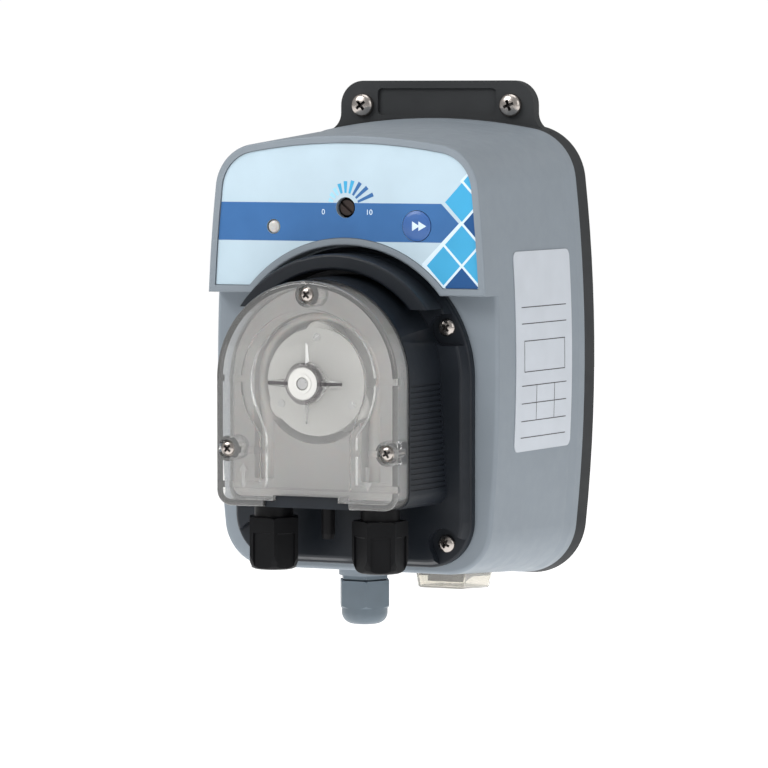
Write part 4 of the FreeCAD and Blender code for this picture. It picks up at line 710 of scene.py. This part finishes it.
def addNumber(name, text, x, z, size):
    letters = bpy.data.curves.new(name, "FONT")
    letters.body = text
    letters.size = size * 0.001
    letters.align_x, letters.align_y = "CENTER", "CENTER"
    letters.extrude = scale["numberThick"] * 0.001
    number = bpy.data.objects.new(name, letters)
    number.rotation_euler = (math.radians(90), 0, 0)
    number.location = place(x, panelPrint["face"] - scale["numberLift"], z)
    bpy.context.scene.collection.objects.link(number)
    letters.materials.append(materials["print_white"])
    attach(number, "case")


for numberName, text, numberX in scale["numbers"]:
    addNumber(numberName, text, numberX, scale["numberHeight"], scale["numberSize"])
print("scale printed")

# Prime button mark: two triangles lying on the dome, which is given as steps of radius and depth
buttonMark = {"centre": (30.6, 60.1), "half": 1.9, "long": 3.25, "step": 2.7, "start": -1.6, "lift": 0.03,
              "rows": 8, "columns": 4, "seat": -94.65,
              "dome": ((0.0, -0.75), (2.68, -0.62), (4.76, -0.3), (5.95, 0.1))}


def domeDepth(radius):
    # depth of the button's dome at a distance from its middle
    seat, steps = buttonMark["seat"], buttonMark["dome"]
    for (r0, y0), (r1, y1) in zip(steps, steps[1:]):
        if radius <= r1:
            return seat + y0 + (y1 - y0) * (radius - r0) / (r1 - r0)
    return seat + steps[-1][1]


def addButtonMark():
    bm = bmesh.new()
    cx, cz = buttonMark["centre"]
    rows, columns = buttonMark["rows"], buttonMark["columns"]
    for index in range(2):
        x0 = buttonMark["start"] + index * buttonMark["step"]
        last = None
        for row in range(rows + 1):
            x = x0 + buttonMark["long"] * row / rows
            high = buttonMark["half"] * (1 - row / rows)
            column = []
            for k in range(columns + 1):
                z = -high + 2 * high * k / columns
                y = domeDepth(math.hypot(x, z)) - buttonMark["lift"]
                column.append(bm.verts.new((cx + x, y, cz + z)))
            if last:
                for k in range(columns):
                    bm.faces.new((last[k], last[k + 1], column[k + 1], column[k]))
            last = column
    bmesh.ops.remove_doubles(bm, verts=bm.verts, dist=0.001)
    bmesh.ops.recalc_face_normals(bm, faces=bm.faces)
    moveToPump(bm)
    newPiece("buttonMark", bm, materials["print_white"], "button", smoothAngle=30.0)


addButtonMark()
print("button marked")

# Rating label on the side: a bare frame and rules, no words. The side is bowed round sideMiddle and leans by
# its draft, and the film of the label lies on it.
sideRules = {"front": -69.8, "back": -20.3, "line": 0.35, "lift": 0.05, "cell": 4.0,
             "boxInset": (7.0, 6.5), "boxHeights": (2.0, 14.5), "ruleInset": 5.0,
             "rules": (27.5, 21.0, -3.5, -10.5, -17.5, -24.0), "splits": (0.36, 0.68),
             "splitRun": (-17.5, -3.5), "sideOut": 66.5, "sideRadius": 650.0, "sideMiddle": 5.0,
             "draft": 4.0, "draftFrom": -9.0, "film": 0.31}


def sideFace(y, z):
    # outside of the label on the bowed side of the case
    bow = sideRules["sideRadius"]
    shrink = math.tan(math.radians(sideRules["draft"])) * (sideRules["draftFrom"] - y)
    radius = bow - shrink + sideRules["film"]
    return sideRules["sideOut"] - bow + math.sqrt(radius ** 2 - (z - sideRules["sideMiddle"]) ** 2)


def sideStrip(bm, y0, y1, z0, z1):
    across = max(1, int((y1 - y0) / sideRules["cell"]))
    high = max(1, int((z1 - z0) / sideRules["cell"]))
    grid = []
    for i in range(across + 1):
        y = y0 + (y1 - y0) * i / across
        heights = [z0 + (z1 - z0) * k / high for k in range(high + 1)]
        grid.append([bm.verts.new((sideFace(y, z) + sideRules["lift"], y, z)) for z in heights])
    for i in range(across):
        for k in range(high):
            bm.faces.new((grid[i][k], grid[i + 1][k], grid[i + 1][k + 1], grid[i][k + 1]))


def addSideRules():
    bm = bmesh.new()
    line, inset = sideRules["line"], sideRules["ruleInset"]
    front, back = sideRules["front"], sideRules["back"]
    # box for the type line
    boxFront, boxBack = front + sideRules["boxInset"][0], back - sideRules["boxInset"][1]
    boxLow, boxHigh = sideRules["boxHeights"]
    sideStrip(bm, boxFront, boxBack, boxLow, boxLow + line)
    sideStrip(bm, boxFront, boxBack, boxHigh - line, boxHigh)
    sideStrip(bm, boxFront, boxFront + line, boxLow, boxHigh)
    sideStrip(bm, boxBack - line, boxBack, boxLow, boxHigh)
    # fields for the values, ruled across
    for z in sideRules["rules"]:
        sideStrip(bm, front + inset, back - inset, z, z + line)
    for share in sideRules["splits"]:
        y = front + (back - front) * share
        sideStrip(bm, y, y + line, *sideRules["splitRun"])
    bmesh.ops.recalc_face_normals(bm, faces=bm.faces)
    moveToPump(bm)
    newPiece("sideRules", bm, materials["print_ink"], "case", smoothAngle=30.0)


addSideRules()
print("side label ruled")

# Raised flow arrows on the clear cover, up on the suction side and down on the other
coverArrows = {"face": -131.4, "high": 0.18, "sink": 0.01, "length": 9.5, "half": 1.9, "shaft": 0.85,
               "head": 3.4, "height": -36.2,
               "sides": (("suctionArrow", -26.5, 1.0), ("deliveryArrow", 26.5, -1.0))}


def addCoverArrows():
    face, half, shaft = coverArrows["face"], coverArrows["half"], coverArrows["shaft"]
    tall = coverArrows["length"] / 2
    neck = tall - coverArrows["head"]
    outline = [(-shaft, -tall), (shaft, -tall), (shaft, neck), (half, neck), (0, tall), (-half, neck),
               (-shaft, neck)]
    for name, x, turn in coverArrows["sides"]:
        bm = bmesh.new()
        placed = [(x + px, coverArrows["height"] + turn * pz) for px, pz in outline]
        platePrism(bm, placed, face - coverArrows["high"], face + coverArrows["sink"])
        bmesh.ops.recalc_face_normals(bm, faces=bm.faces)
        moveToPump(bm)
        arrow = newPiece(name, bm, materials["clear_plastic"], "case", smoothAngle=20.0)


addCoverArrows()
print("cover arrows raised")

# Studio in metres: pale floor, white surround that only the camera sees, soft lights. The surround's profile
# is in shares of the reach and heights above the floor.
studio = {"floor": -0.46, "reach": 7.0, "floorTone": 0.8, "floorGlow": 0.8, "surroundGlow": 1.0,
          "paintRough": 0.9, "ambient": 0.43,
          "surround": ((0.86, 0.0), (0.95, 0.12), (0.99, 0.6), (1.0, 1.5), (1.0, 6.0), (0.0, 9.0)),
          "surroundLift": 0.002, "segments": 64, "aim": (0.0, -0.06, -0.1)}
lights = [
    {"name": "keyLight", "at": (-1.1, -1.6, 1.3), "size": (1.3, 1.0), "power": 26.5},
    {"name": "fillLight", "at": (1.9, -1.3, 0.7), "size": (1.2, 1.2), "power": 7.0},
    {"name": "topLight", "at": (0.1, -0.3, 1.7), "size": (1.2, 1.2), "power": 9.0},
    {"name": "rimLight", "at": (0.9, 1.4, 0.9), "size": (0.9, 0.9), "power": 2.5},
]


def stageMaterial(name, colour, glow):
    material = bpy.data.materials.new(name)
    material.use_nodes = True
    shader = material.node_tree.nodes["Principled BSDF"]
    shader.inputs["Base Color"].default_value = (*colour, 1.0)
    shader.inputs["Roughness"].default_value = studio["paintRough"]
    shader.inputs["Emission Color"].default_value = (1.0, 1.0, 1.0, 1.0)
    shader.inputs["Emission Strength"].default_value = glow
    return material


def stagePiece(name, bm, material):
    mesh = bpy.data.meshes.new(name)
    bm.to_mesh(mesh)
    bm.free()
    mesh.materials.append(material)
    piece = bpy.data.objects.new(name, mesh)
    bpy.context.scene.collection.objects.link(piece)
    return piece


def addStudio():
    floorHeight, reach, segments = studio["floor"], studio["reach"], studio["segments"]
    bm = bmesh.new()
    bmesh.ops.create_circle(bm, cap_ends=True, segments=segments, radius=reach)
    paint = stageMaterial("floorPaint", (studio["floorTone"],) * 3, studio["floorGlow"])
    floor = stagePiece("floor", bm, paint)
    floor.location = (0, 0, floorHeight)
    bm = bmesh.new()
    profile = [(reach * share, height) for share, height in studio["surround"]]
    turnedSkin(bm, profile, (0, 0, floorHeight + studio["surroundLift"]), (0, 0, 1), segments)
    paint = stageMaterial("surroundPaint", (0.0, 0.0, 0.0), studio["surroundGlow"])
    surround = stagePiece("surround", bm, paint)
    surround.visible_diffuse = False
    surround.visible_glossy = False
    surround.visible_transmission = False
    surround.visible_shadow = False
    world = bpy.data.worlds.new("studioAir")
    world.use_nodes = True
    air = world.node_tree.nodes["Background"]
    air.inputs["Color"].default_value = (1.0, 1.0, 1.0, 1.0)
    air.inputs["Strength"].default_value = studio["ambient"]
    bpy.context.scene.world = world
    for look in lights:
        lamp = bpy.data.lights.new(look["name"], "AREA")
        lamp.shape = "RECTANGLE"
        lamp.size, lamp.size_y = look["size"]
        lamp.energy = look["power"]
        lit = bpy.data.objects.new(look["name"], lamp)
        lit.location = look["at"]
        aim = Vector(studio["aim"]) - Vector(look["at"])
        lit.rotation_euler = aim.to_track_quat("-Z", "Y").to_euler()
        bpy.context.scene.collection.objects.link(lit)
    bpy.context.scene.view_settings.view_transform = "Standard"


addStudio()
print("studio lit")
